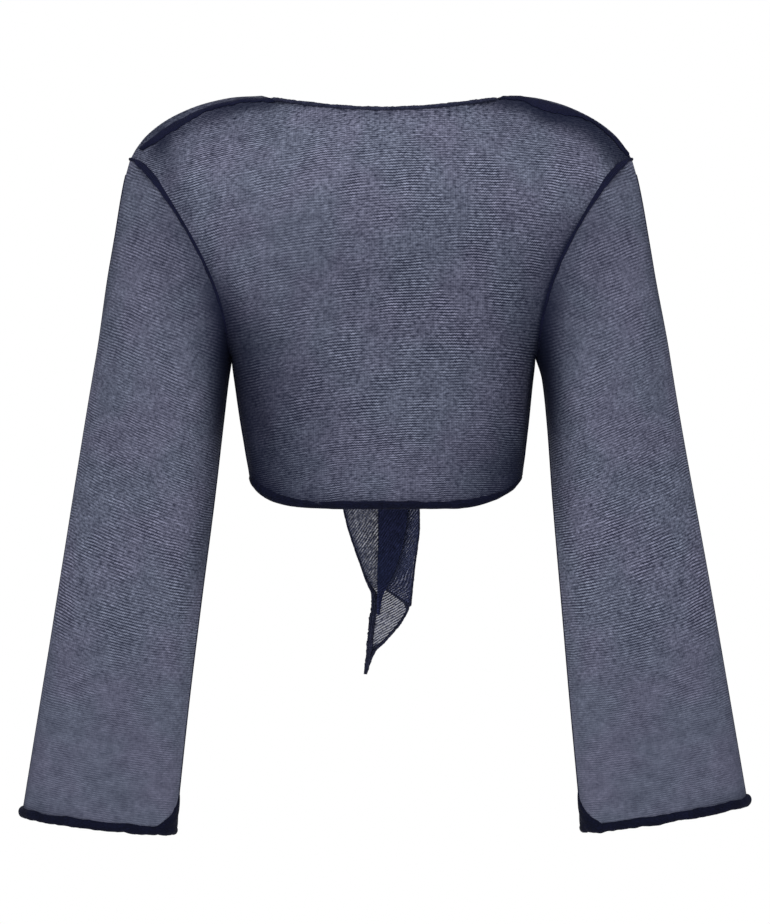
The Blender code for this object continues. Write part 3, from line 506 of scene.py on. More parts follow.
SHOULDER_BANDS = {  # distances out, then the heights of the pressed seam's upper and lower side
    "left": (
        (0.0930, 0.0990, 0.1063, 0.1175, 0.1364, 0.1507, 0.1769, 0.1900, 0.2020, 0.2090, 0.2125),
        (-0.0066, -0.0042, -0.0024, -0.0024, -0.0058, -0.0095, -0.0212, -0.0290, -0.0378, -0.0434, -0.0464),
        (-0.0072, -0.0078, -0.0070, -0.0066, -0.0098, -0.0135, -0.0290, -0.0370, -0.0448, -0.0476, -0.0472),
    ),
    "right": (
        (0.1010, 0.1060, 0.1180, 0.1290, 0.1390, 0.1558, 0.1757, 0.1920, 0.2058, 0.2130, 0.2185),
        (-0.0034, -0.0004, -0.0003, -0.0018, -0.0038, -0.0082, -0.0155, -0.0247, -0.0358, -0.0434, -0.0505),
        (-0.0042, -0.0042, -0.0044, -0.0086, -0.0135, -0.0172, -0.0198, -0.0282, -0.0413, -0.0495, -0.0555),
    ),
}
# Painted shade on the cloth just below that seam: distances out, how dark it is there and how far
# down that reaches
SEAM_SHADES = {
    "left": (
        (0.088, 0.105, 0.118, 0.135, 0.151, 0.166, 0.179, 0.192, 0.200, 0.207),
        (0.45, 0.78, 0.84, 0.84, 0.70, 0.46, 0.60, 0.86, 0.50, 0.12),
        (0.006, 0.008, 0.010, 0.013, 0.014, 0.014, 0.012, 0.017, 0.016, 0.014),
    ),
    "right": (
        (0.088, 0.112, 0.124, 0.138, 0.156, 0.174, 0.192, 0.206, 0.2185),
        (0.50, 0.88, 0.91, 0.92, 0.92, 0.91, 0.88, 0.84, 0.80),
        (0.008, 0.012, 0.013, 0.014, 0.015, 0.018, 0.024, 0.029, 0.024),
    ),
}
# These two are painted shade as well: a wider one under the seam, and one on the strip over it
WIDE_SHADE = (0.27, 0.034)  # a wider one that lies under it: how dark, and how far down it reaches
ABOVE_SEAM, NECK_END, NECK_END_OUT = 0.55, 0.17, 0.125  # the strip above it, and more near the neck
BAND_START, BAND_FADE = 0.080, 0.022  # distance out where all of them start, and how soon
# Towards each side seam the cloth turns away and looks darker: how dark, how far in that reaches, a
# narrow dark line at the seam itself, and the height from which all of it eases in, over which drop
SIDE_SHADES = {
    "left": ((0.89,), (0.012, (0.010, -0.150, 0.040), (0.038, -0.175, 0.075)), 0.0, -0.08, 0.12),
    "right": (
        (0.65, (0.20, -0.295, 0.030)), (0.023, (0.0069, -0.130, 0.080), (0.0276, -0.270, 0.060)),
        0.98, -0.06, 0.08,
    ),
}
SIDE_LINE = 0.007  # how far in the narrow line reaches
MID_SHADE = (0.03, (0.15, -0.07, 0.06))  # painted shade over the whole back, darker below the shoulders
# Painted shade along the neck edge: how dark, how much more near its two ends and how far in
# from them, how far down
NECK_SHADE, POINT_SHADE, POINT_REACH, NECK_SHADE_REACH = 0.36, 0.34, 0.030, 0.006
HEM_SHADE, HEM_SHADE_REACH = 0.55, 0.008  # how dark along the hem, and how far up
# Broad soft patches of painted shade, darkest in the dent by the left shoulder and at the hem's
# corners, and one painted lighter patch (a negative darkness): out, height, reach across, reach up,
# how dark
BACK_SHADES = (
    (0.192, -0.050, 0.008, 0.012, 0.20), (0.186, -0.068, 0.009, 0.017, 0.44),
    (0.179, -0.087, 0.008, 0.014, 0.34), (0.170, -0.102, 0.009, 0.014, 0.28),
    (-0.118, -0.335, 0.012, 0.016, 0.45), (0.120, -0.335, 0.009, 0.016, 0.55),
    (0.107, -0.348, 0.014, 0.006, 0.50), (0.030, -0.163, 0.042, 0.034, 0.13),
    (0.118, -0.158, 0.022, 0.016, -0.10), (-0.088, -0.150, 0.070, 0.150, 0.10),
    (-0.066, -0.286, 0.026, 0.036, 0.07), (0.082, -0.175, 0.030, 0.030, 0.05),
    (0.014, -0.066, 0.020, 0.030, 0.03),
)
QUIET = (0.088, -0.150, 0.055, 0.085, 0.40)  # where rows show less: out, height, reaches, how much
MATTED, MATTED_REACH, MATTED_OUT = 0.9, 0.028, 0.130  # single stitches near the top edge, not rows
# Folds: out and height of both ends, half width and rise
BACK_FOLDS = (
    (0.125, -0.215, 0.070, -0.335, 0.016, 0.0022),
    (0.118, -0.240, 0.100, -0.340, 0.010, -0.0016),
    (-0.125, -0.215, -0.080, -0.330, 0.015, 0.0020),
    (-0.112, -0.235, -0.098, -0.335, 0.009, -0.0014),
    (0.150, -0.090, 0.120, -0.190, 0.014, -0.0018),
    (-0.152, -0.085, -0.125, -0.185, 0.015, -0.0016),
    (0.035, -0.250, 0.020, -0.350, 0.020, 0.0014),
    (-0.030, -0.255, -0.040, -0.350, 0.018, -0.0012),
)
RELAX_ROUNDS = 60

back = relaxed(back_points(), RELAX_ROUNDS)
back_out = turned_to(grid_normals(back), BEHIND)
back = soft_folds(back, back_out, BACK_FOLDS)
back_x, back_z = back[..., 0], back[..., 2]
far_out = np.abs(back_x)
rise = -(COURSE_TILT * back_x + COURSE_ARCH * back_x**2)
back_rows = counted(COURSE_LEVELS, COURSES, rise - back_z)
lengths = row_lengths(back)
middle = lengths.shape[1] // 2
back_stitches = np.stack([(lengths - lengths[:, middle : middle + 1]) / WALE, back_rows], axis=-1)
panel_out, panel_height = edge_line()
# The darkening below is all painted shade, written into the look that hides the haze: towards the side
# seams, under and over the shoulder seams, along the neck edge and the hem, in soft patches, and over the
# whole back below the shoulders
from_side = np.clip(np.interp(back_z, panel_height, panel_out) - far_out, 0, 1)
side_dark, band_dark = np.zeros(back_x.shape), np.zeros(back_x.shape)
for side in ("left", "right"):
    on_side = (back_x > 0) == (side == "left")
    strength, reach, line_strength, start, drop = SIDE_SHADES[side]
    shade = stepped(back_z, *strength) * falling(from_side, stepped(back_z, *reach), 1.5)
    shade = np.maximum(shade, line_strength * falling(from_side, SIDE_LINE))
    side_dark += on_side * shade * lower(back_z, start, drop)
    knots, uppers, lowers = SHOULDER_BANDS[side]
    outs, strengths, reaches = SEAM_SHADES[side]
    below = np.clip(smooth_through(knots, lowers, far_out) - back_z, 0, 1)
    above = back_z > smooth_through(knots, uppers, far_out)
    shade = smooth_through(outs, strengths, far_out)
    shade = shade * falling(below, smooth_through(outs, reaches, far_out), 3)
    shade = together(shade, WIDE_SHADE[0] * falling(below, WIDE_SHADE[1]))
    shade = np.where(above, ABOVE_SEAM + NECK_END * (far_out < NECK_END_OUT), shade)
    band_dark += on_side * shade * ease((far_out - BAND_START) / BAND_FADE)
under_neck = np.maximum(back_z[-1:] - back_z, 0)
neck_dark = NECK_SHADE + POINT_SHADE * falling(NECK_POINT - far_out, POINT_REACH)
neck_dark = neck_dark * falling(under_neck, NECK_SHADE_REACH) * (far_out < NECK_POINT)
patches = [
    dark * falling(np.hypot((back_x - out_at) / wide, (back_z - height_at) / tall), 1)
    for out_at, height_at, wide, tall, dark in BACK_SHADES
]
hem_dark = HEM_SHADE * falling(np.maximum(back_z - back_z[:1], 0), HEM_SHADE_REACH, 1.5)
mid_dark = stepped(back_z, *MID_SHADE)
back_painted_shade = together(side_dark, band_dark, *patches, hem_dark, mid_dark, neck_dark)
quiet_out, quiet_height, quiet_wide, quiet_tall, quiet_share = QUIET
quiet = np.hypot((back_x - quiet_out) / quiet_wide, (back_z - quiet_height) / quiet_tall)
back_plain = quiet_share * falling(quiet, 1)
from_top = np.minimum(np.clip(ridge(far_out) - back_z, 0, 1), back_z[-1:] - back_z)
back_matted = MATTED * falling(from_top, MATTED_REACH)
back_matted *= 1 - 0.7 * ease((far_out - MATTED_OUT) / 0.05)
back_sheet = sheet_piece(
    "back_cloth", hung(back), back_stitches, back_out, body_knit, ["back"],
    {"painted_shade": back_painted_shade, "plain": back_plain, "matted": back_matted},
)

# Fronts. Two panels of the same knit, cut to a deep neckline and narrowed into the tie: each is
# gathered into the knot, and its gathers run out over the cloth and fade.
KNOT_MIDDLE, KNOT_HALF = np.array([0.0, -0.0945, -0.292]), np.array([0.0205, 0.0145, 0.0175])
KNOT_HOLD, KNOT_STEPS = 0.78, 45  # share of the knot's height that a front goes into, and its rows
KNOT_SINK = 0.004  # how far each front runs on into the knot
FRONT_ROWS = SIDE_STEPS + ARMHOLE_STEPS
NECKLINE_BOW, FRONT_HEM_BOW = 0.010, 0.006  # how far those edges bend from a straight line
# Gathers: place up the panel as a share of its rows, height of the ridge, reach across, half width
GATHERS = (
    (0.02, 0.0030, 0.30, 0.012), (0.07, 0.0039, 0.34, 0.014), (0.12, 0.0027, 0.26, 0.010),
    (0.17, 0.0051, 0.44, 0.016), (0.22, 0.0024, 0.28, 0.010), (0.27, 0.0042, 0.38, 0.015),
    (0.33, 0.0054, 0.52, 0.018), (0.39, 0.0027, 0.30, 0.012), (0.45, 0.0039, 0.42, 0.016),
    (0.52, 0.0024, 0.26, 0.012), (0.60, 0.0042, 0.46, 0.018), (0.70, 0.0021, 0.40, 0.020),
)
FRONT_FOLDS = (
    (0.060, -0.255, 0.118, -0.180, 0.012, 0.0022),
    (0.055, -0.275, 0.122, -0.225, 0.010, -0.0016),
    (0.150, -0.100, 0.125, -0.190, 0.014, -0.0018),
    (0.080, -0.290, 0.124, -0.300, 0.011, 0.0016),
)
FRONT_TILT = 0.10  # how the rows slope down towards the sides
# Painted shade on the front: how dark it looks and how far that reaches, towards the sides, round
# the knot, between the gathers and under the shoulder seam
SIDE_TURN, ROUND_KNOT, GATHER_SHADE, UNDER_SEAM = (0.5, 0.02), (0.75, 0.034), (0.62, 0.33), (0.5, 0.012)


def mirrored(points):
    """The same points on the wearer's other side."""
    return points * np.array([-1.0, 1.0, 1.0])


def blend_patch(bottom, top, left, right, across, up):
    """A surface that meets four edges (a Coons patch): the edges' blends less their corners'."""
    across, up = across[None, :, None], up[:, None, None]
    sides = (1 - across) * left[:, None] + across * right[:, None]
    ends = (1 - up) * bottom[None, :] + up * top[None, :]
    low = (1 - across) * bottom[0] + across * bottom[-1]
    high = (1 - across) * top[0] + across * top[-1]
    return sides + ends - (1 - up) * low - up * high


def front_points():
    """The left front's outer points: rows from the hem up, columns from the knot and neckline to
    the side, blended from its four edges and set at the depth of the form."""
    right = np.stack(edge_line(), axis=-1)
    climb = np.linspace(-KNOT_HOLD, KNOT_HOLD, KNOT_STEPS + 1)
    knot_out = (KNOT_HALF[0] - KNOT_SINK) * np.sqrt(1 - climb**2)
    knot = np.stack([knot_out, KNOT_MIDDLE[2] + KNOT_HALF[2] * climb], axis=-1)
    climb = np.linspace(0, 1, FRONT_ROWS - KNOT_STEPS + 1)[1:, None]
    neck_point = np.array([NECK_POINT, float(ridge(NECK_POINT))])
    neckline = knot[-1] + (neck_point - knot[-1]) * climb
    neckline[:, :1] -= NECKLINE_BOW * np.sin(math.pi * climb) * climb
    left = np.concatenate([knot, neckline])
    shoulder = shoulder_outs()
    top = np.stack([shoulder, ridge(shoulder)], axis=-1)
    across = (shoulder - shoulder[0]) / (shoulder[-1] - shoulder[0])
    bottom = left[0] + (right[0] - left[0]) * across[:, None]
    bottom[:, 1] -= FRONT_HEM_BOW * np.sin(math.pi * across)
    flat = blend_patch(bottom, top, left, right, across, np.linspace(0, 1, len(left)))
    out, height = flat[..., 0], flat[..., 1]
    return np.stack([out, -stand_out(out, height, "front"), height], axis=-1), across


SIDES = (("left", np.copy), ("right", mirrored))  # a side, and what takes the left's points to it

front, front_across = front_points()
front = relaxed(front, RELAX_ROUNDS)
front_out = turned_to(grid_normals(front), -BEHIND)
row_share = np.linspace(0, 1, FRONT_ROWS + 1)[:, None]
gathered_rise = np.zeros(front.shape[:2])
for place, lift, reach, half in GATHERS:
    fade = falling(front_across, reach) * (0.35 + 0.65 * np.minimum(front_across / 0.12, 1))
    wide = half * (0.7 + 1.4 * front_across)
    slant = place + 0.05 * front_across * (place - 0.3)
    gathered_rise += lift * fade * falling(row_share - slant, wide)
gathered = soft_folds(front + front_out * gathered_rise[..., None], front_out, FRONT_FOLDS)
front_rows = counted(COURSE_LEVELS, COURSES, -gathered[..., 2] - FRONT_TILT * gathered[..., 0])
front_stitches = np.stack([row_lengths(gathered) / WALE, front_rows], axis=-1)
front_x, front_z = front[..., 0], front[..., 2]
from_side = np.clip(half_width(front_z) - front_x, 0, 1)
turn_dark = SIDE_TURN[0] * falling(from_side, SIDE_TURN[1], 1.5) * lower(front_z, -0.10, 0.10)
from_knot = np.hypot(gathered[..., 0], gathered[..., 2] - KNOT_MIDDLE[2])
knot_dark = ROUND_KNOT[0] * falling(from_knot, ROUND_KNOT[1])
between = 1 - np.clip(gathered_rise / 0.0020, 0, 1)
gather_dark = GATHER_SHADE[0] * between * falling(front_across, GATHER_SHADE[1])
gather_dark = gather_dark * ease((0.75 - row_share) / 0.15)
from_seam = np.maximum(ridge(front_x) - front_z, 0)
seam_dark = UNDER_SEAM[0] * falling(from_seam, UNDER_SEAM[1], 1.5) * ease((front_x - 0.10) / 0.02)
front_painted_shade = together(np.maximum(turn_dark, knot_dark), gather_dark, seam_dark)
for side, way in SIDES:
    front_sheet = sheet_piece(
        f"front_cloth_{side}", hung(way(gathered)), front_stitches, way(front_out), body_knit,
        [f"front_{side}"], {"painted_shade": front_painted_shade},
    )

# Sleeves. Long and slightly flared, each knitted in one flat piece and joined along its inner side.
# They hang pressed flat, so a faint crease runs down the outer side of each.
SLEEVE_STEPS = 120
ALONG_POWER, CAP_SHARE = 1.25, 0.22  # rings lie closer at the top; how far down the cap turns to an oval
CUFF_ROLL = 0.0038  # radius of the rolled cuff
CUFF_LIFT = 2 * CUFF_ROLL - TUCK  # how far above the outline's end the cloth itself ends
SLEEVE_OUTER = {  # heights, then distances out, from the armhole down
    "left": ((-0.0559, -0.0740, -0.1267, -0.2675, -0.4435, -0.6340),
             (0.2208, 0.2256, 0.2346, 0.2590, 0.2872, 0.3180)),
    "right": ((-0.0559, -0.0740, -0.1267, -0.2675, -0.4435, -0.6238),
              (0.2208, 0.2258, 0.2355, 0.2578, 0.2894, 0.3204)),
}
SLEEVE_INNER = {
    "left": ((-0.2297, -0.2500, -0.2850, -0.3555, -0.4435, -0.5315, -0.6496),
             (0.1333, 0.1366, 0.1408, 0.1490, 0.1604, 0.1712, 0.1838)),
    "right": ((-0.2297, -0.2500, -0.2850, -0.3555, -0.4435, -0.5315, -0.6476),
              (0.1333, 0.1400, 0.1440, 0.1492, 0.1567, 0.1642, 0.1750)),
}
SLEEVE_ALONG, SLEEVE_DEPTHS = (0.0, 0.35, 0.7, 1.0), (0.056, 0.053, 0.047, 0.043)
SLEEVE_LEVELS = (-0.60, -0.549, -0.514, -0.479, -0.444, -0.373, -0.338, -0.2675, -0.232, -0.0915)
SLEEVE_COURSES = (
    0.00185, 0.00185, 0.00202, 0.00233, 0.00255, 0.00255, 0.0022, 0.0022, 0.00264, 0.00264,
)
# How steeply the rows slope along the inner and the outer side, level by level
SLOPE_LEVELS = (-0.64, -0.549, -0.514, -0.479, -0.444, -0.408, -0.355, -0.303, -0.10)
OUTER_SLOPES = (0.20, 0.21, 0.27, 0.36, 0.43, 0.46, 0.46, 0.46, 0.46)
INNER_SLOPES = (0.14, 0.14, 0.14, 0.16, 0.23, 0.29, 0.40, 0.48, 0.48)
SLEEVE_FOLDS = {
    "left": (
        (0.205, -0.120, 0.185, -0.230, 0.014, -0.0020),
        (0.170, -0.225, 0.200, -0.330, 0.016, 0.0024),
        (0.235, -0.300, 0.215, -0.420, 0.018, -0.0020),
        (0.200, -0.400, 0.225, -0.540, 0.016, 0.0018),
        (0.275, -0.470, 0.262, -0.600, 0.015, -0.0018),
    ),
    "right": (
        (0.208, -0.125, 0.182, -0.235, 0.015, -0.0018),
        (0.165, -0.235, 0.195, -0.325, 0.015, 0.0022),
        (0.228, -0.290, 0.222, -0.410, 0.017, -0.0018),
        (0.205, -0.410, 0.215, -0.550, 0.017, 0.0020),
        (0.270, -0.480, 0.268, -0.590, 0.014, -0.0016),
    ),
}
PLAIN_DROPS = (0.10, 0.20, 0.29, 0.37, 0.46, 0.55, 0.60)  # how far down the pattern is how plain
SLEEVE_PLAIN = {
    "left": (0.34, 0.30, 0.22, 0.10, 0.18, 0.60, 0.67),
    "right": (0.34, 0.34, 0.16, 0.0, 0.12, 0.60, 0.67),
}
# Painted shade on the sleeve: how dark it looks along its inner side, and below the armhole seam
INNER_SHADES = {
    "left": (0.95, (-0.47, -0.27, 0.06), (-0.48, -0.400, 0.06)),
    "right": (0.95, (-0.47, -0.27, 0.06), (-0.48, -0.345, 0.06)),
}
CAP_SHADES = {
    "left": (0.12, (0.40, -0.08, 0.06), (0.33, -0.14, 0.05)),
    "right": (0.04, (0.40, -0.08, 0.06), (0.33, -0.14, 0.05)),
}
INNER_REACH, CAP_REACH, ARMPIT_SHADE, ARMPIT_REACH = 0.014, 0.040, 0.96, 0.045
# A thin line of painted shade down the outer side, where the pressed sleeve turns: how dark, round
# which height and how far from it, then how dark lower down, and how far in the line reaches
OUTER_BULGE, OUTER_LOW, OUTER_REACH = (0.42, -0.155, 0.065), (0.0, (0.12, -0.42, 0.04)), 0.0042
# Painted shade over the flat of the sleeve, a little more than on its inner part: how much, from
# where and how soon. In two broad patches it is less: how much, height, reach up, from where across
# and how soon. Lower down a strip inside it is more: how much, from where down, how soon, place
# across and reach
FLAT_SHADE = (0.165, 0.010, 0.045)
LESS_SHADES = ((0.06, -0.405, 0.065, 0.05, 0.05), (0.05, -0.095, 0.035, 0.03, 0.04))
STRIP_SHADE = (0.06, -0.45, 0.03, 0.035, 0.035)
# Painted shade just above the cuff: how dark, and how far up
CUFF_SHADE, CUFF_SHADE_REACH = 0.5, 0.007


def sleeve_points(side):
    """One sleeve's outer points as for the wearer's left, ring by ring down to the cuff, and how far
    out each is from the sleeve's middle.

    A ring is an oval, by a cosine between the two outlines and by a sine times the half depth. At
    the top it is the armhole's own line, and it turns into the oval over the cap. It starts at the
    armpit side and runs round the back to the outer side, then the front.
    """
    back_half = np.linspace(math.pi, 0, ARMHOLE_STEPS + 1)
    angles = np.concatenate([back_half, math.tau - back_half[-2:0:-1]])
    along = np.linspace(0, 1, SLEEVE_STEPS + 1) ** ALONG_POWER
    (outer_z, outer_x), (inner_z, inner_x) = SLEEVE_OUTER[side], SLEEVE_INNER[side]
    outer_height = TIP[1] + (outer_z[-1] + CUFF_LIFT - TIP[1]) * along
    inner_height = ARMPIT[1] + (inner_z[-1] + CUFF_LIFT - ARMPIT[1]) * along
    outer_out = smooth_through(outer_z[::-1], outer_x[::-1], outer_height)
    inner_out = smooth_through(inner_z[::-1], inner_x[::-1], inner_height)
    toward = (1 + np.cos(angles)) / 2
    out = inner_out[:, None] + (outer_out - inner_out)[:, None] * toward
    height = inner_height[:, None] + (outer_height - inner_height)[:, None] * toward
    oval = ease(along / CAP_SHARE)[:, None]
    out = out - (1 - oval) * ARMHOLE_BOW * np.abs(np.sin(angles)) * (1 - (1 - toward) ** 6)
    seam_out, seam_height = armhole_line(np.minimum(angles, math.tau - angles))
    behind = stand_out(seam_out, seam_height, "back")
    before = stand_out(seam_out, seam_height, "front")
    seam_depth = np.where(angles <= math.pi, behind, -before)
    half_depth = smooth_through(SLEEVE_ALONG, SLEEVE_DEPTHS, along)
    depth = (1 - oval) * seam_depth + oval * half_depth[:, None] * np.sin(angles)
    middle = (inner_out + (outer_out - inner_out) / 2)[:, None]
    return np.stack([out, depth, height], axis=-1), out - middle


sleeve_grids, sleeve_outs, sleeve_sheets = {}, {}, {}
for side, way in SIDES:
    sleeve, from_middle = sleeve_points(side)
    sleeve_mid = sleeve.mean(axis=1, keepdims=True)
    sleeve_out = turned_to(grid_normals(sleeve, ring=True), sleeve - sleeve_mid)
    sleeve = soft_folds(sleeve, sleeve_out, SLEEVE_FOLDS[side])
    sleeve_grids[side], sleeve_outs[side] = sleeve, sleeve_out
    closed, aside = ends_joined(sleeve, 1), ends_joined(from_middle, 1)
    inner_slope = smooth_through(SLOPE_LEVELS, INNER_SLOPES, closed[..., 2])
    outer_slope = smooth_through(SLOPE_LEVELS, OUTER_SLOPES, closed[..., 2])
    wide = np.ptp(from_middle, axis=1)[:, None]
    tilt = (inner_slope + outer_slope) / 2 * aside + (outer_slope - inner_slope) / wide / 2 * aside**2
    sleeve_rows = -counted(SLEEVE_LEVELS, SLEEVE_COURSES, closed[..., 2] - tilt)
    sleeve_stitches = np.stack([row_lengths(closed) / WALE, sleeve_rows], axis=-1)
    sleeve_x, sleeve_z = sleeve[..., 0], sleeve[..., 2]
    # The darkening below is all painted shade, written into the look that hides the haze: along the inner
    # side, down the outer edge, round the armpit, below the armhole seam, over the flat and just above the
    # cuff
    from_inner = np.clip(sleeve_x - sleeve_x[:, :1], 0, 1)
    from_outer = np.clip(sleeve_x[:, ARMHOLE_STEPS, None] - sleeve_x, 0, 1)
    inner_dark = stepped(sleeve_z, *INNER_SHADES[side]) * falling(from_inner, INNER_REACH, 1.7)
    bulge, bulge_height, bulge_tall = OUTER_BULGE
    outer_dark = bulge * falling(sleeve_z - bulge_height, bulge_tall) + stepped(sleeve_z, *OUTER_LOW)
    outer_dark = outer_dark * falling(from_outer, OUTER_REACH)
    from_armpit = np.hypot(1.8 * (sleeve_x - ARMPIT[0]), sleeve_z - ARMPIT[1])
    armpit_dark = ARMPIT_SHADE * falling(from_armpit, ARMPIT_REACH)
    from_armhole = np.linalg.norm(sleeve - sleeve[:1], axis=-1)
    cap_dark = stepped(sleeve_z, *CAP_SHADES[side]) * falling(from_armhole, CAP_REACH, 1.5)
    more, start, over = FLAT_SHADE
    flat_dark = more * ease((from_inner - start) / over)
    for less, height, tall, start, over in LESS_SHADES:
        flat_dark -= less * falling(sleeve_z - height, tall) * ease((from_inner - start) / over)
    more, start, drop, place, reach = STRIP_SHADE
    flat_dark += more * lower(sleeve_z, start, drop) * falling(from_inner - place, reach)
    above_cuff = np.maximum(sleeve_z - sleeve_z[-1:], 0)
    cuff_dark = CUFF_SHADE * falling(above_cuff, CUFF_SHADE_REACH, 1.5) * ease((from_inner - 0.06) / 0.06)
    inside_dark = np.maximum(inner_dark, armpit_dark)
    sleeve_painted_shade = together(inside_dark, cap_dark, flat_dark, cuff_dark, outer_dark)
    sleeve_plain = smooth_through(PLAIN_DROPS, SLEEVE_PLAIN[side], -sleeve_z)
    sleeve_sheets[side] = sheet_piece(
        f"sleeve_cloth_{side}", leaned(way(sleeve)), sleeve_stitches, way(sleeve_out), body_knit,
        [f"sleeve_{side}"], {"painted_shade": sleeve_painted_shade, "plain": sleeve_plain}, ring=True,
    )

# Seams. The panels are overlocked together inside, and the doubled cloth shows through as a dark
# raised line: wide over both shoulders, where it is pressed to the back, and narrow elsewhere.
SEAM_RISE = 0.0008  # half the thickness of the doubled cloth at a seam
SEAM_HALF, CREASE_HALF, CREASE_RISE = 0.0020, 0.0009, 0.0006
ARMHOLE_HALF, ARMHOLE_WIDER, ARMHOLE_UNEVEN = 0.0018, 0.0018, 0.0004  # low down, more above, and wavers
ARMHOLE_POINTS, BAND_STEPS, BAND_SIDES, SIDE_SEAM_STEPS = 100, 90, 24, 50
ARMHOLE_SIDES, SEAM_SIDES, CREASE_SIDES = 12, 10, 8  # points round each tube
BODY_SIDE = (0.180, 0.0, -0.140)  # a place inside the shoulder, which the armhole seam faces away from
ROLL_STITCH = 0.0011  # spacing of the ribs along a roll or seam
WAVE_SHARES = np.array([0.4, 0.3, 0.2, 0.15])  # how strong each sine of an uneven line is
WAVE_LENGTHS = np.array([1.0, 0.61, 0.37, 0.23])  # and how long, as a share of the longest
END_AT_ARMPIT = {"left": 0.2, "right": 0.8}  # how much of a sleeve seam's thickness goes at its top


def run_lengths(path):
    """Length along a path from its first point to each point."""
    return row_lengths(path[None])[0]


def run_of(path, closed=False):
    """Unit vectors along a path: the differences of its points."""
    if closed:
        return unit(np.roll(path, -1, axis=0) - np.roll(path, 1, axis=0))
    return unit(np.gradient(path, axis=0))


def squared_to(run, way):
    """Unit vectors as near to a way as can be square to a run: the way less its part along it."""
    return unit(way - run * np.sum(way * run, axis=1, keepdims=True))


def swept(path, outward, half_across, half_out, sides, closed=False):
    """A flattened tube along a path: each ring is the path's point plus half_across times a cosine
    along the cloth, plus half_out times a sine square to it. Each half is one value, a column of
    values down the path, or a grid of them round it too."""
    run = run_of(path, closed)
    outward = squared_to(run, outward)
    across = np.cross(run, outward)
    turn = np.linspace(0, math.tau, sides, endpoint=False)
    return (
        path[:, None]
        + across[:, None] * (half_across * np.cos(turn))[..., None]
        + outward[:, None] * (half_out * np.sin(turn))[..., None]
    )


def tube_piece(name, rings, material, nodes, closed=False, stitch=ROLL_STITCH):
    """A closed tube from rings of points, with its ends fanned to their middles. The stitches map
    runs along it in columns and round it in rows. A volume below nothing, the sum of the corners'
    triple products, says that its faces point inwards, and they are turned round."""
    sides = rings.shape[1]
    points = rings.reshape(-1, 3)
    index = ends_joined(np.arange(len(points)).reshape(-1, sides), 1)
    wrapped = ends_joined(rings, 1)
    if closed:
        index, wrapped = ends_joined(index, 0), ends_joined(wrapped, 0)
    around = row_lengths(wrapped).mean(axis=0)
    along = run_lengths(wrapped.mean(axis=1))
    stitches = np.stack(np.meshgrid(along / stitch, around / stitch, indexing="ij"), axis=-1)
    place = np.arange(index.size).reshape(index.shape)
    quads, spots = (
        np.stack([a[:-1, :-1], a[1:, :-1], a[1:, 1:], a[:-1, 1:]], axis=-1).reshape(-1, 4)
        for a in (index, place)
    )
    corners = points[quads]
    volume = sum(
        np.sum(corners[:, 0] * np.cross(corners[:, k], corners[:, k + 1])) for k in (1, 2)
    )
    fans = np.zeros((0, 3), int)
    if not closed:
        first, last = index[0], index[-1]
        start, end = (np.full(sides, len(points) + k) for k in (0, 1))
        fans = np.concatenate([
            np.stack([start, first[:-1], first[1:]], axis=1),
            np.stack([end, last[1:], last[:-1]], axis=1),
        ])
        points = np.concatenate([points, rings[[0, -1]].mean(axis=1)])
    if volume < 0:
        quads, spots, fans = quads[:, ::-1], spots[:, ::-1], fans[:, ::-1]
    uv = np.concatenate([stitches.reshape(-1, 2)[spots].reshape(-1, 2), np.zeros((fans.size, 2))])
    return add_piece(name, points, quads.tolist() + fans.tolist(), uv, material, nodes)


def wavering(along, seed, scale):
    """A smooth uneven line about zero: four sines of unlike lengths, with set starting points."""
    starts = np.random.default_rng(seed).uniform(0, math.tau, 4)
    return np.sin(math.tau * along[..., None] / (scale * WAVE_LENGTHS) + starts) @ WAVE_SHARES


def depth_on(grid, out, height):
    """Depth of a grid at places seen from behind: the mean of its points' depths, weighted by
    exp(-(distance / 3.5 mm)^2)."""
    points = grid.reshape(-1, 3)
    far = (out.reshape(-1, 1) - points[:, 0]) ** 2 + (height.reshape(-1, 1) - points[:, 2]) ** 2
    weight = np.exp(-(far - far.min(axis=1, keepdims=True)) / 0.0035**2)
    return ((weight @ points[:, 1]) / weight.sum(axis=1)).reshape(out.shape)


# Overlocked jersey: the same yarn pressed close, so it reads as near-black navy with fine ribs
seam_knit = knit_material(
    "overlocked_jersey", yarn="#05081b", haze="#1c2148", tinge="#20224a", contrast=1.0, level=0.22,
    patchiness=0.3, gloss=0.15,
)

arm_out, arm_height = armhole_line(np.linspace(math.pi, 0, ARMHOLE_POINTS))
arm_back = np.stack([arm_out, stand_out(arm_out, arm_height, "back"), arm_height], axis=1)
arm_front = np.stack([arm_out, -stand_out(arm_out, arm_height, "front"), arm_height], axis=1)
armhole = np.concatenate([arm_back, arm_front[-2:0:-1]])
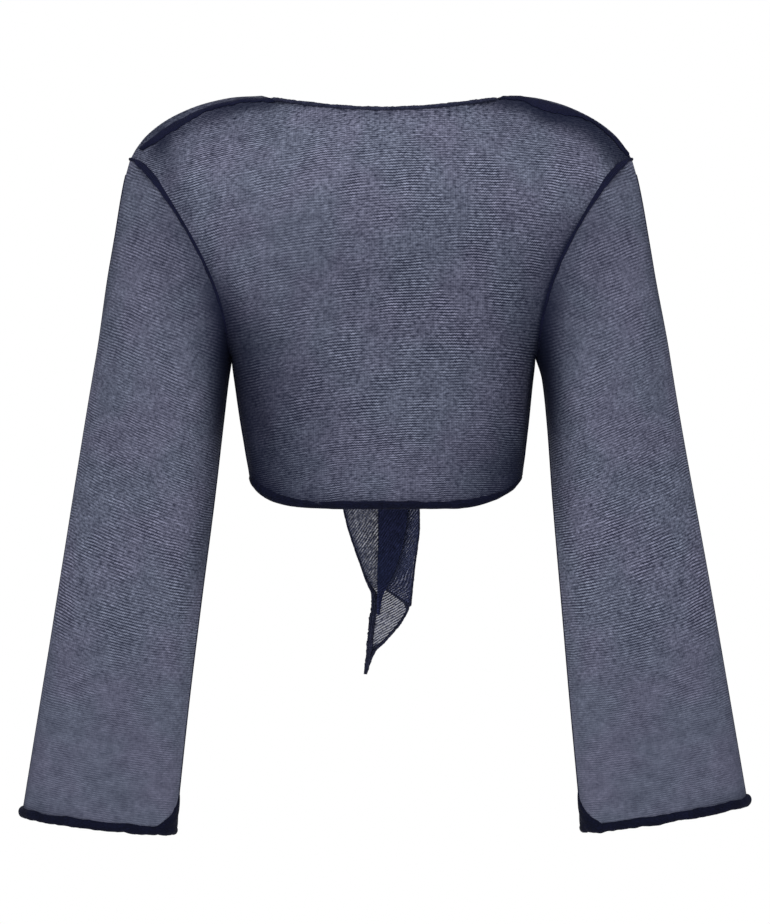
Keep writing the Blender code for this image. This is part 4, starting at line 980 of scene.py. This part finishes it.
# The armhole seam is wider higher up, and narrow but thick right at the shoulder tip
near_tip = ease((armhole[:, 2] + 0.125) / 0.07)
at_tip = falling(TIP[1] - armhole[:, 2], 0.0035)
armhole_wide = ARMHOLE_HALF + ARMHOLE_WIDER * near_tip
armhole_wide = armhole_wide + ARMHOLE_UNEVEN * wavering(run_lengths(armhole), 3, 0.025)
armhole_wide = armhole_wide * (1 - 0.65 * at_tip)
armhole_rise = SEAM_RISE * (1.2 + 0.9 * at_tip)
armhole_way = unit(armhole - np.array(BODY_SIDE))
armhole_ring = swept(
    armhole, armhole_way, armhole_wide[:, None], armhole_rise[:, None], ARMHOLE_SIDES, closed=True
)
turn = np.linspace(0, math.tau, BAND_SIDES, endpoint=False)
for side, way in SIDES:
    name = f"armhole_seam_{side}"
    armhole_seam = tube_piece(name, leaned(way(armhole_ring)), seam_knit, [], closed=True)
    knots, uppers, lowers = SHOULDER_BANDS[side]
    outs = np.linspace(knots[0], knots[-1], BAND_STEPS)
    fray = ease((outs - knots[0]) / 0.008)
    # The shoulder seam lies on the back as an oval between its two uneven lines, swelling out
    upper = smooth_through(knots, uppers, outs) + 0.0005 * fray * wavering(outs, 5, 0.022)
    below = smooth_through(knots, lowers, outs) + 0.0009 * fray * wavering(outs, 6, 0.016)
    level = (upper + below)[:, None] / 2 + (upper - below)[:, None] / 2 * np.cos(turn)
    over = np.repeat(outs[:, None], BAND_SIDES, axis=1)
    on_cloth = np.stack([over, depth_on(back, over, level), level], axis=-1)
    swell = (0.35 + 0.65 * fray)[:, None] * (0.0004 + 1.3 * SEAM_RISE * np.sin(turn))
    ring = on_cloth + (0.75 * BEHIND + 0.66 * UP) * swell[..., None]
    shoulder_seam = tube_piece(f"shoulder_seam_{side}", hung(way(ring)), seam_knit, [])
    # The side seam thins towards both ends, and the sleeve's towards the armpit
    heights = np.linspace(HEM_BACK + HEM_SIDE_RISE + 2 * HEM_ROLL - 0.001, ARMPIT[1], SIDE_SEAM_STEPS)
    line = np.stack([half_width(heights), 0 * heights, heights], axis=1)
    run_out = 0.3 + 0.7 * ease((heights - heights[0]) / 0.02) * lower(heights, heights[-1], 0.02)
    ring = swept(line, ASIDE, SEAM_HALF, 1.6 * SEAM_RISE * run_out[:, None], SEAM_SIDES)
    side_seam = tube_piece(f"side_seam_{side}", hung(way(ring)), seam_knit, [])
    inner, outer = sleeve_grids[side][2:, 0], sleeve_grids[side][6:, ARMHOLE_STEPS]
    run_out = 1 - END_AT_ARMPIT[side] * (1 - lower(inner[:, 2], ARMPIT[1], 0.03))
    ring = swept(inner, -ASIDE, SEAM_HALF, SEAM_RISE * run_out[:, None], SEAM_SIDES)
    sleeve_seam = tube_piece(f"sleeve_seam_{side}", leaned(way(ring)), seam_knit, [])
    # The crease is no seam: the cloth pressed to a faint ridge. It is drawn in the seams' near-black
    # knit, so its dark line is painted shade where the sleeve turns at its outer edge
    thin = CREASE_HALF * (1 + 0.15 * wavering(run_lengths(outer), 8, 0.06))
    ring = swept(outer, ASIDE, thin[:, None], CREASE_RISE, CREASE_SIDES)
    crease = tube_piece(f"sleeve_crease_shade_{side}", leaned(way(ring)), seam_knit, [])

# Hem. The knit's own edge curled into a full round roll, all round from one side of the knot to the
# other. It is uneven, and fullest at the left back corner.
HEM_INSIDE = 0.9  # how far inside the panel the roll lies, as a share of its radius
HEM_GAP, HEM_SIDES, EVEN_ROUNDS = 0.0022, 20, 6
FULL_CORNER = (0.106, 0.020)  # the left back corner's distance out, and its reach
CORNER_SHIFT, CORNER_FULLER = np.array([0.0015, 0.0, -0.0012]), 0.16


def off_edge(edge, neighbours, closed=False):
    """Unit vectors that point off a panel's edge, along its surface and square to the edge."""
    return squared_to(run_of(edge, closed), edge - neighbours)


def roll_centres(edge, off, inward, radius, inside):
    """The middle line of a roll just off an edge, a share of its radius to the inside."""
    away = radius * math.sqrt(1 - inside**2) + 0.0003
    return edge + off * (away - TUCK) + inward * inside * radius


def evened(path, rounds):
    """The path with each inner point moved, round by round, towards the mean of its neighbours."""
    path = path.copy()
    for _ in range(rounds):
        path[1:-1] = (path[:-2] + 2 * path[1:-1] + path[2:]) / 4
    return path


def read_off(path, lengths, at):
    """The path's points at given lengths along it, on the straight lines between its own."""
    return np.stack([np.interp(at, lengths, path[:, k]) for k in range(3)], axis=1)


def spaced(path, gap, closed=False):
    """The path with points an even distance apart, read off it by its length."""
    if closed:
        path = ends_joined(path, 0)
    lengths = run_lengths(path)
    count = max(8, int(round(lengths[-1] / gap)))
    return read_off(path, lengths, np.linspace(0, lengths[-1], count + 1)[: count if closed else None])


# The curled edge shows only the yarn's dark reverse, many layers deep, with fine ribs along it
roll_knit = knit_material(
    "curled_jersey_edge", yarn="#04060f", haze="#1a1e3d", tinge="#1e2242", contrast=0.9, level=0.25,
    patchiness=0.4, gloss=0.10,
)

hem_half, hem_back = (
    roll_centres(edge, off_edge(panel[0], panel[3]), -outward[0], HEM_ROLL, HEM_INSIDE)
    for edge, panel, outward in ((gathered[0], front, front_out), (back[0], back, back_out))
)
hem = np.concatenate([hem_half[2:-2], hem_back[-3:2:-1], mirrored(hem_half[-3:1:-1])])
hem = evened(spaced(hem, HEM_GAP), EVEN_ROUNDS)
hem_at = run_lengths(hem)
corner = falling(hem[:, 0] - FULL_CORNER[0], FULL_CORNER[1]) * ease(hem[:, 1] / 0.02)
hem = hem + corner[:, None] * CORNER_SHIFT
hem_radius = HEM_ROLL * (1 + 0.07 * wavering(hem_at, 11, 0.09) + CORNER_FULLER * corner)
turn = np.linspace(0, math.tau, HEM_SIDES, endpoint=False)
# Three low ridges, the layers of the curl, run along the roll and wander round it
ripple = 1 + 0.035 * np.sin(3 * turn + 2.2 * wavering(hem_at, 12, 0.05)[:, None])
hem_rings = swept(hem, UP, hem_radius[:, None] * ripple, hem_radius[:, None] * ripple, HEM_SIDES)
hem_piece = tube_piece("hem_roll", hung(hem_rings), roll_knit, ["hem_edge"])

# Neck edge. A narrow curl of the knit round the back neck and down both fronts, its cut loops a
# little frayed, so the line is thin, dark and bumpy.
NECK_ROLL, NECK_SIDES, NECK_GAP = 0.0019, 12, 0.0011
NECK_INSIDE = 0.1  # how far inside the panel the roll lies, as a share of its radius
NECK_BEYOND, NECK_BACK, NECK_BACK_REACH = 0.3, 0.5, 0.012  # how far past the edge, less at its points
LOOP_SIZE, NECK_UNEVEN = 0.22, 0.15
neck_columns = slice(SHOULDER_STEPS, SHOULDER_STEPS + NECK_STEPS + 1)
front_neck, front_neck_out = gathered[KNOT_STEPS:, 0], front_out[KNOT_STEPS:, 0]
back_neck, back_neck_out = back[-1, neck_columns], back_out[-1, neck_columns]
front_off = off_edge(front_neck, gathered[KNOT_STEPS:, 3])
back_off = off_edge(back_neck, back[-3, neck_columns])
from_point = front_neck[-1:, 2:] - front_neck[:, 2:]
front_beyond = NECK_BEYOND - NECK_BACK * falling(from_point, NECK_BACK_REACH)
from_point = NECK_POINT - np.abs(back_neck[:, :1])
back_beyond = NECK_BEYOND - NECK_BACK * falling(from_point, NECK_BACK_REACH)
neck_side = front_neck + (front_off * front_beyond - front_neck_out * NECK_INSIDE) * NECK_ROLL
neck_back = back_neck + (back_off * back_beyond - back_neck_out * NECK_INSIDE) * NECK_ROLL
neck_way, neck = (
    np.concatenate([side[1:-1], behind[-2:0:-1], mirrored(side[-2:0:-1])])
    for side, behind in ((front_neck_out, back_neck_out), (neck_side, neck_back))
)
neck = evened(neck, 2)
neck_length = run_lengths(neck)
fine_at = np.linspace(0, neck_length[-1], int(neck_length[-1] / NECK_GAP))
neck_line = read_off(neck, neck_length, fine_at)
neck_facing = unit(read_off(neck_way, neck_length, fine_at))
# A cut edge of the jersey: its loops stand up a little and catch light, so it is less dark than the hem
neck_knit = knit_material(
    "frayed_jersey_edge", yarn="#0a0e20", haze="#4c516c", tinge="#555672", contrast=0.9, level=0.24,
    patchiness=0.5, gloss=0.15,
)


def loops(seed, count, sides):
    """Small cut loops all over a roll: random values, each the mean of three neighbours."""
    drawn = np.random.default_rng(seed).uniform(-1, 1, (count, sides))
    return (drawn + np.roll(drawn, 1, axis=0) + np.roll(drawn, 1, axis=1)) / 3


neck_bumps = LOOP_SIZE * loops(21, len(fine_at), NECK_SIDES)
neck_radius = NECK_ROLL * (1 + NECK_UNEVEN * wavering(fine_at, 22, 0.03)[:, None] + neck_bumps)
neck_rings = swept(neck_line, neck_facing, neck_radius, neck_radius, NECK_SIDES)
neck_piece = tube_piece("neck_roll", hung(neck_rings), neck_knit, ["neck_edge"])

# Cuffs. The same curl round each cuff, wavy and uneven. It sticks out as a small knob at the outer
# side, and at the seam the corner is turned up and caught, a dark doubled triangle.
CUFF_INSIDE, CUFF_GAP, CUFF_SIDES, CUFF_TALLER = 0.4, 0.0018, 18, 1.15
CUFF_SEEDS = {"left": 31, "right": 41}  # each cuff wavers in its own way
KNOB_REACH, KNOB_OUT, KNOB_UP, KNOB_FULLER = 0.0055, 0.0012, 0.0008, 0.16
CORNER_HEIGHT, CORNER_WIDE, CORNER_WALL, CORNER_STITCH = 0.031, 0.036, 0.0012, 0.0012
CORNER_ROWS, CORNER_COLUMNS = 26, 41


def read_between(grid, rows, columns):
    """A ring grid's values at places between its points: the four neighbours' values, each weighted
    by how near it is. Columns past the last go round to the first."""
    row = np.floor(rows).astype(int).clip(0, len(grid) - 2)
    column = np.floor(columns).astype(int)
    down, on = (rows - row)[..., None], (columns - column)[..., None]
    near, far = (
        grid[row, k % grid.shape[1]] * (1 - down) + grid[row + 1, k % grid.shape[1]] * down
        for k in (column, column + 1)
    )
    return near * (1 - on) + far * on


for side, way in SIDES:
    sleeve, sleeve_out = sleeve_grids[side], sleeve_outs[side]
    off = off_edge(sleeve[-1], sleeve[-4], closed=True)
    line = roll_centres(sleeve[-1], off, -sleeve_out[-1], CUFF_ROLL, CUFF_INSIDE)
    line = spaced(line, CUFF_GAP, closed=True)
    at = run_lengths(line)
    seed = CUFF_SEEDS[side]
    outermost = line[np.argmax(line[:, 0])]
    knob = falling(line[:, 1] - outermost[1], KNOB_REACH) * (line[:, 0] > 0.26)
    line[:, 2] += 0.0007 * wavering(at, seed, 0.045) + KNOB_UP * knob
    line[:, 0] += KNOB_OUT * knob
    uneven = 0.10 * wavering(at, seed + 1, 0.05) + 0.05 * wavering(at, seed + 2, 0.011)
    radius = CUFF_ROLL * (1 + uneven + KNOB_FULLER * knob)[:, None]
    ring = swept(line, UP, radius, radius * CUFF_TALLER, CUFF_SIDES, closed=True)
    cuff_piece = tube_piece(
        f"cuff_roll_{side}", leaned(way(ring)), roll_knit, [f"cuff_edge_{side}"], closed=True
    )
    # The corner is a patch on the sleeve, widest at the cuff and narrowing to a point above, read off
    # the sleeve's own grid and raised a little from it
    up = np.linspace(0, 1, CORNER_ROWS)[:, None]
    over = np.linspace(-1, 1, CORNER_COLUMNS)[None]
    uneven = 0.0016 * wavering(up * CORNER_HEIGHT, seed, 0.014) * np.sin(math.pi * up)
    reach = CORNER_WIDE * (1 - up) ** 1.5 + 0.0012 + uneven
    around = run_lengths(ends_joined(sleeve[-1], 0))
    columns = np.interp((over * reach) % around[-1], around, np.arange(len(around)))
    drops = -sleeve[:, 0, 2]
    rows = np.interp(drops[-1] - up * CORNER_HEIGHT, drops, np.arange(len(sleeve)))
    rows = np.broadcast_to(rows, columns.shape)
    crown = 0.0005 + 0.0011 * (1 - over**6) * (1 - up**6) + 0.0003 * np.sin(9 * over + 14 * up)
    patch_out = unit(read_between(sleeve_out, rows, columns))
    patch = read_between(sleeve, rows, columns) + patch_out * crown[..., None]
    patch_up = np.broadcast_to(up * CORNER_HEIGHT, columns.shape)
    patch_map = np.stack([over * reach, patch_up], axis=-1) / CORNER_STITCH
    corner_piece = sheet_piece(
        f"cuff_corner_{side}", leaned(way(patch)), patch_map, way(patch_out), roll_knit,
        [], wall=CORNER_WALL,
    )

# Knot. The gathered ends of both fronts tied once over each other: a slanting turn over the rest with
# a groove on each side, all of it pleated finely by the pull.
KNOT_WRAP, KNOT_STITCH = 0.0036, 0.0018  # depth of its turns and pleats, and spacing of its stitches
KNOT_RINGS, KNOT_SIDES, KNOT_END = 48, 96, 0.04  # its ends stop a small angle short of its poles
KNOT_SLANT = 0.5  # angle of the turn to the level, in radians
# The body's jersey pulled tight and many layers deep, so less light comes back from between its rows
knot_knit = knit_material(
    "knotted_jersey", yarn="#10152a", haze="#5b627e", tinge="#5f6080", contrast=0.9, level=0.25,
    patchiness=0.35,
)
# A ball by two angles, grooved and pleated by how far each place is along the slant
falls = np.linspace(KNOT_END, math.pi - KNOT_END, KNOT_RINGS)
turns = np.linspace(0, math.tau, KNOT_SIDES + 1)[:-1]
fall, turn = np.meshgrid(falls, turns, indexing="ij")
ball = np.stack([np.sin(fall) * np.cos(turn), np.sin(fall) * np.sin(turn), np.cos(fall)], axis=-1)
ball_x, ball_y, ball_z = np.moveaxis(ball, -1, 0)
slant = ball_z * math.cos(KNOT_SLANT) + ball_x * math.sin(KNOT_SLANT)
groove = falling(np.abs(slant) - 0.34, 0.13)
turn_over = 0.7 * falling(slant, 0.3)
pleats = 0.16 * np.sin(slant * 42 + 2.5 * ball_x + 1.5 * ball_y) * falling(slant, 0.3)
pleats = pleats + 0.14 * np.sin(ball_x * 26 + 5 * ball_z) * (1 - falling(slant, 0.34))
relief = (turn_over - groove + 1.6 * pleats) * (1 - ball_x**4)
knot_rings = KNOT_MIDDLE + ball * (1 + KNOT_WRAP / KNOT_HALF[0] * relief)[..., None] * KNOT_HALF
tube_piece("knot", hung(knot_rings), knot_knit, ["tie_knot"], stitch=KNOT_STITCH)

# Tails. The loose ends of the tie hang from the knot below the back hem: the left one is a wide
# single layer, farthest from the camera, and the right one is partly folded double in front of it.
# One layer is sheer enough to let the light behind it through between its rows.
TAILS = {  # heights, left and right edges seen from behind, how far forward, cut
    "tail_left": (
        (-0.3080, -0.3350, -0.3580, -0.3745, -0.3926, -0.4107, -0.4288, -0.4450, -0.4532, -0.4650,
         -0.4831, -0.4939, -0.5140),
        (0.0105, 0.0250, 0.0368, 0.0341, 0.0288, 0.0225, 0.0161, 0.0103, 0.0108, 0.0125,
         0.0143, 0.0154, 0.0173),
        (-0.0100, -0.0220, -0.0312, -0.0316, -0.0304, -0.0266, -0.0246, -0.0236, -0.0230, -0.0173,
         -0.0024, 0.0080, 0.0156),
        (0.1000, 0.1015, 0.1025, 0.1030, 0.1030, 0.1030, 0.1030, 0.1025, 0.1022, 0.1018,
         0.1012, 0.1010, 0.1010),
        0.0,
    ),
    "tail_right": (
        (-0.3080, -0.3350, -0.3580, -0.3745, -0.4107, -0.4320),
        (0.0060, 0.0058, 0.0052, 0.0050, 0.0052, 0.0058),
        (-0.0120, -0.0235, -0.0318, -0.0325, -0.0276, -0.0246),
        (0.0945, 0.0960, 0.0970, 0.0975, 0.0980, 0.0985),
        0.0200,
    ),
    "tail_right_fold": (
        (-0.3080, -0.3350, -0.3650, -0.3930, -0.4210, -0.4450, -0.4600),
        (0.0050, 0.0050, 0.0050, 0.0046, 0.0058, 0.0055, 0.0054),
        (-0.0090, -0.0160, -0.0215, -0.0180, -0.0100, 0.0010, 0.0034),
        (0.0895, 0.0905, 0.0920, 0.0930, 0.0940, 0.0950, 0.0955),
        0.0,
    ),
}
TAIL_STEPS, TAIL_ROWS, TAIL_WALL, TAIL_CROWN = 40, 120, 0.0008, 0.0020
TAIL_COURSE = 0.0021  # spacing of the rows on the tails
# The height that the rows are counted from, and their slope in degrees: how much, how much more above
# a height, and how soon
TAIL_KNIT_MIDDLE, ROW_ANGLES = -0.430, (30, 25, -0.440, 0.02)
# Painted shade on the tails, darker above a height: how much, from where and how soon; by the
# outer edge and by the fold: how much and how far in; and fully dark at the tip: from which height
# down and how soon
TAIL_SHADE, EDGE_SHADE, FOLD_SHADE = (0.34, -0.452, 0.02), (0.32, 0.0042), (0.5, 0.0035)
TIP_SHADE = (-0.484, 0.008)
# One layer of the same jersey against the light: dark yarn, and thin haze that lets light through
tail_knit = knit_material(
    "sheer_weft_knit", yarn="#1f243a", haze="#5a648c", tinge="#5c6288", contrast=1.05, level=0.60,
    patchiness=0.25, see_through=0.55,
)
# The same jersey lying double: no light comes through, and its rows run together
fold_knit = knit_material(
    "doubled_weft_knit", yarn="#0b1023", haze="#404b78", tinge="#444a78", contrast=0.6, level=0.33,
    patchiness=0.3, gloss=0.15,
)


def tail_points(heights, left, right, forward, cut):
    """A loose end: a strip between its two edges, bowed a little across its width, with soft
    ripples down it that grow towards the free end."""
    order = slice(None, None, -1)
    height = np.linspace(heights[0], heights[-1], TAIL_ROWS + 1)
    edge_l = smooth_through(heights[order], left[order], height)
    edge_r = smooth_through(heights[order], right[order], height)
    ahead = smooth_through(heights[order], forward[order], height)
    across = np.linspace(0, 1, TAIL_STEPS + 1)
    down = np.linspace(0, 1, TAIL_ROWS + 1)[:, None]
    wide = (edge_l - edge_r)[:, None]
    crown = TAIL_CROWN * np.sin(math.pi * across) * np.clip(wide / 0.05, 0, 1)
    ripple = 0.0007 * np.sin(across * 7 + down * 5) * down
    ripple = ripple + 0.0005 * np.sin(across * 15 - down * 9) * (1 - down)
    level = height[:, None] - cut * down**3 * (1 - across)
    return np.stack([edge_r[:, None] + wide * across, -(ahead[:, None] + crown + ripple), level], axis=-1)


tail_grids, tail_sheets = {}, {}
for name, (heights, left, right, forward, cut) in TAILS.items():
    grid = tail_points(heights, left, right, forward, cut)
    tail_grids[name] = grid
    tail_x, tail_z = grid[..., 0], grid[..., 2]
    angle, more, start, over = ROW_ANGLES
    slope = np.radians(angle + more * ease((tail_z - start) / over))
    drop = tail_z - TAIL_KNIT_MIDDLE
    lay = tail_x * np.sin(slope) + drop * np.cos(slope)
    side_lay = tail_x * np.cos(slope) - drop * np.sin(slope)
    stitches = np.stack([side_lay / WALE, lay / TAIL_COURSE], axis=-1)
    more, start, over = TAIL_SHADE
    shade = more * ease((tail_z - start) / over)
    if name == "tail_left":
        shade = shade + EDGE_SHADE[0] * falling(tail_x[:, -1:] - tail_x, EDGE_SHADE[1])
    if name == "tail_right":
        fold_heights, _, fold_right = TAILS["tail_right_fold"][:3]
        fold_edge = smooth_through(fold_heights[::-1], fold_right[::-1], tail_z)
        shade = shade + FOLD_SHADE[0] * falling(np.clip(fold_edge - tail_x, 0, 1), FOLD_SHADE[1])
    tail_sheets[name] = sheet_piece(
        f"{name}_cloth", grid, stitches, np.broadcast_to(-BEHIND, grid.shape),
        fold_knit if name == "tail_right_fold" else tail_knit, [name],
        {"painted_shade": np.maximum(shade, lower(tail_z, *TIP_SHADE))}, wall=TAIL_WALL,
    )

# Edges of the tails. The same knit curled, or left raw where it was cut, into a thin dark line that
# is uneven and thickens where the cloth turns over.
EDGE_LINES = {  # the edge's points, which way the cloth lies, shares of its length and radii there
    "tail_left_edge_outer": (
        tail_grids["tail_left"][8:, -1], -1,
        (0.0, 0.55, 0.68, 0.93, 1.0), (0.0009, 0.0011, 0.0030, 0.0026, 0.0016),
    ),
    "tail_left_edge_inner": (
        tail_grids["tail_left"][8:, 0], 1,
        (0.0, 0.60, 0.63, 0.67, 0.94, 1.0), (0.0007, 0.0008, 0.0026, 0.0013, 0.0015, 0.0009),
    ),
    "tail_right_edge": (tail_grids["tail_right"][8:, 0], 1, (0.0, 1.0), (0.0008, 0.0011)),
    "tail_right_edge_end": (tail_grids["tail_right"][-1], 0, (0.0, 1.0), (0.0013, 0.0010)),
}
EDGE_GAP, EDGE_SIDES, EDGE_UNEVEN = 0.0009, 10, 0.15
EDGE_LEAST = 0.0006  # a thicker edge than this lies further in over the cloth
for name, (edge, inside, shares, radii) in EDGE_LINES.items():
    line = spaced(edge, EDGE_GAP)
    at = run_lengths(line)
    half = smooth_through(shares, radii, at / at[-1])
    line[:, 0] += inside * np.maximum(half - EDGE_LEAST, 0)
    bumps = LOOP_SIZE * loops(len(name), len(line), EDGE_SIDES)
    radius = half[:, None] * (1 + bumps + EDGE_UNEVEN * wavering(at, 7, 0.02)[:, None])
    ring = swept(line, -BEHIND, radius, radius, EDGE_SIDES)
    tube_piece(name, ring, neck_knit, [])

# Last, the scene's view layer is brought up to date.
bpy.context.view_layer.update()
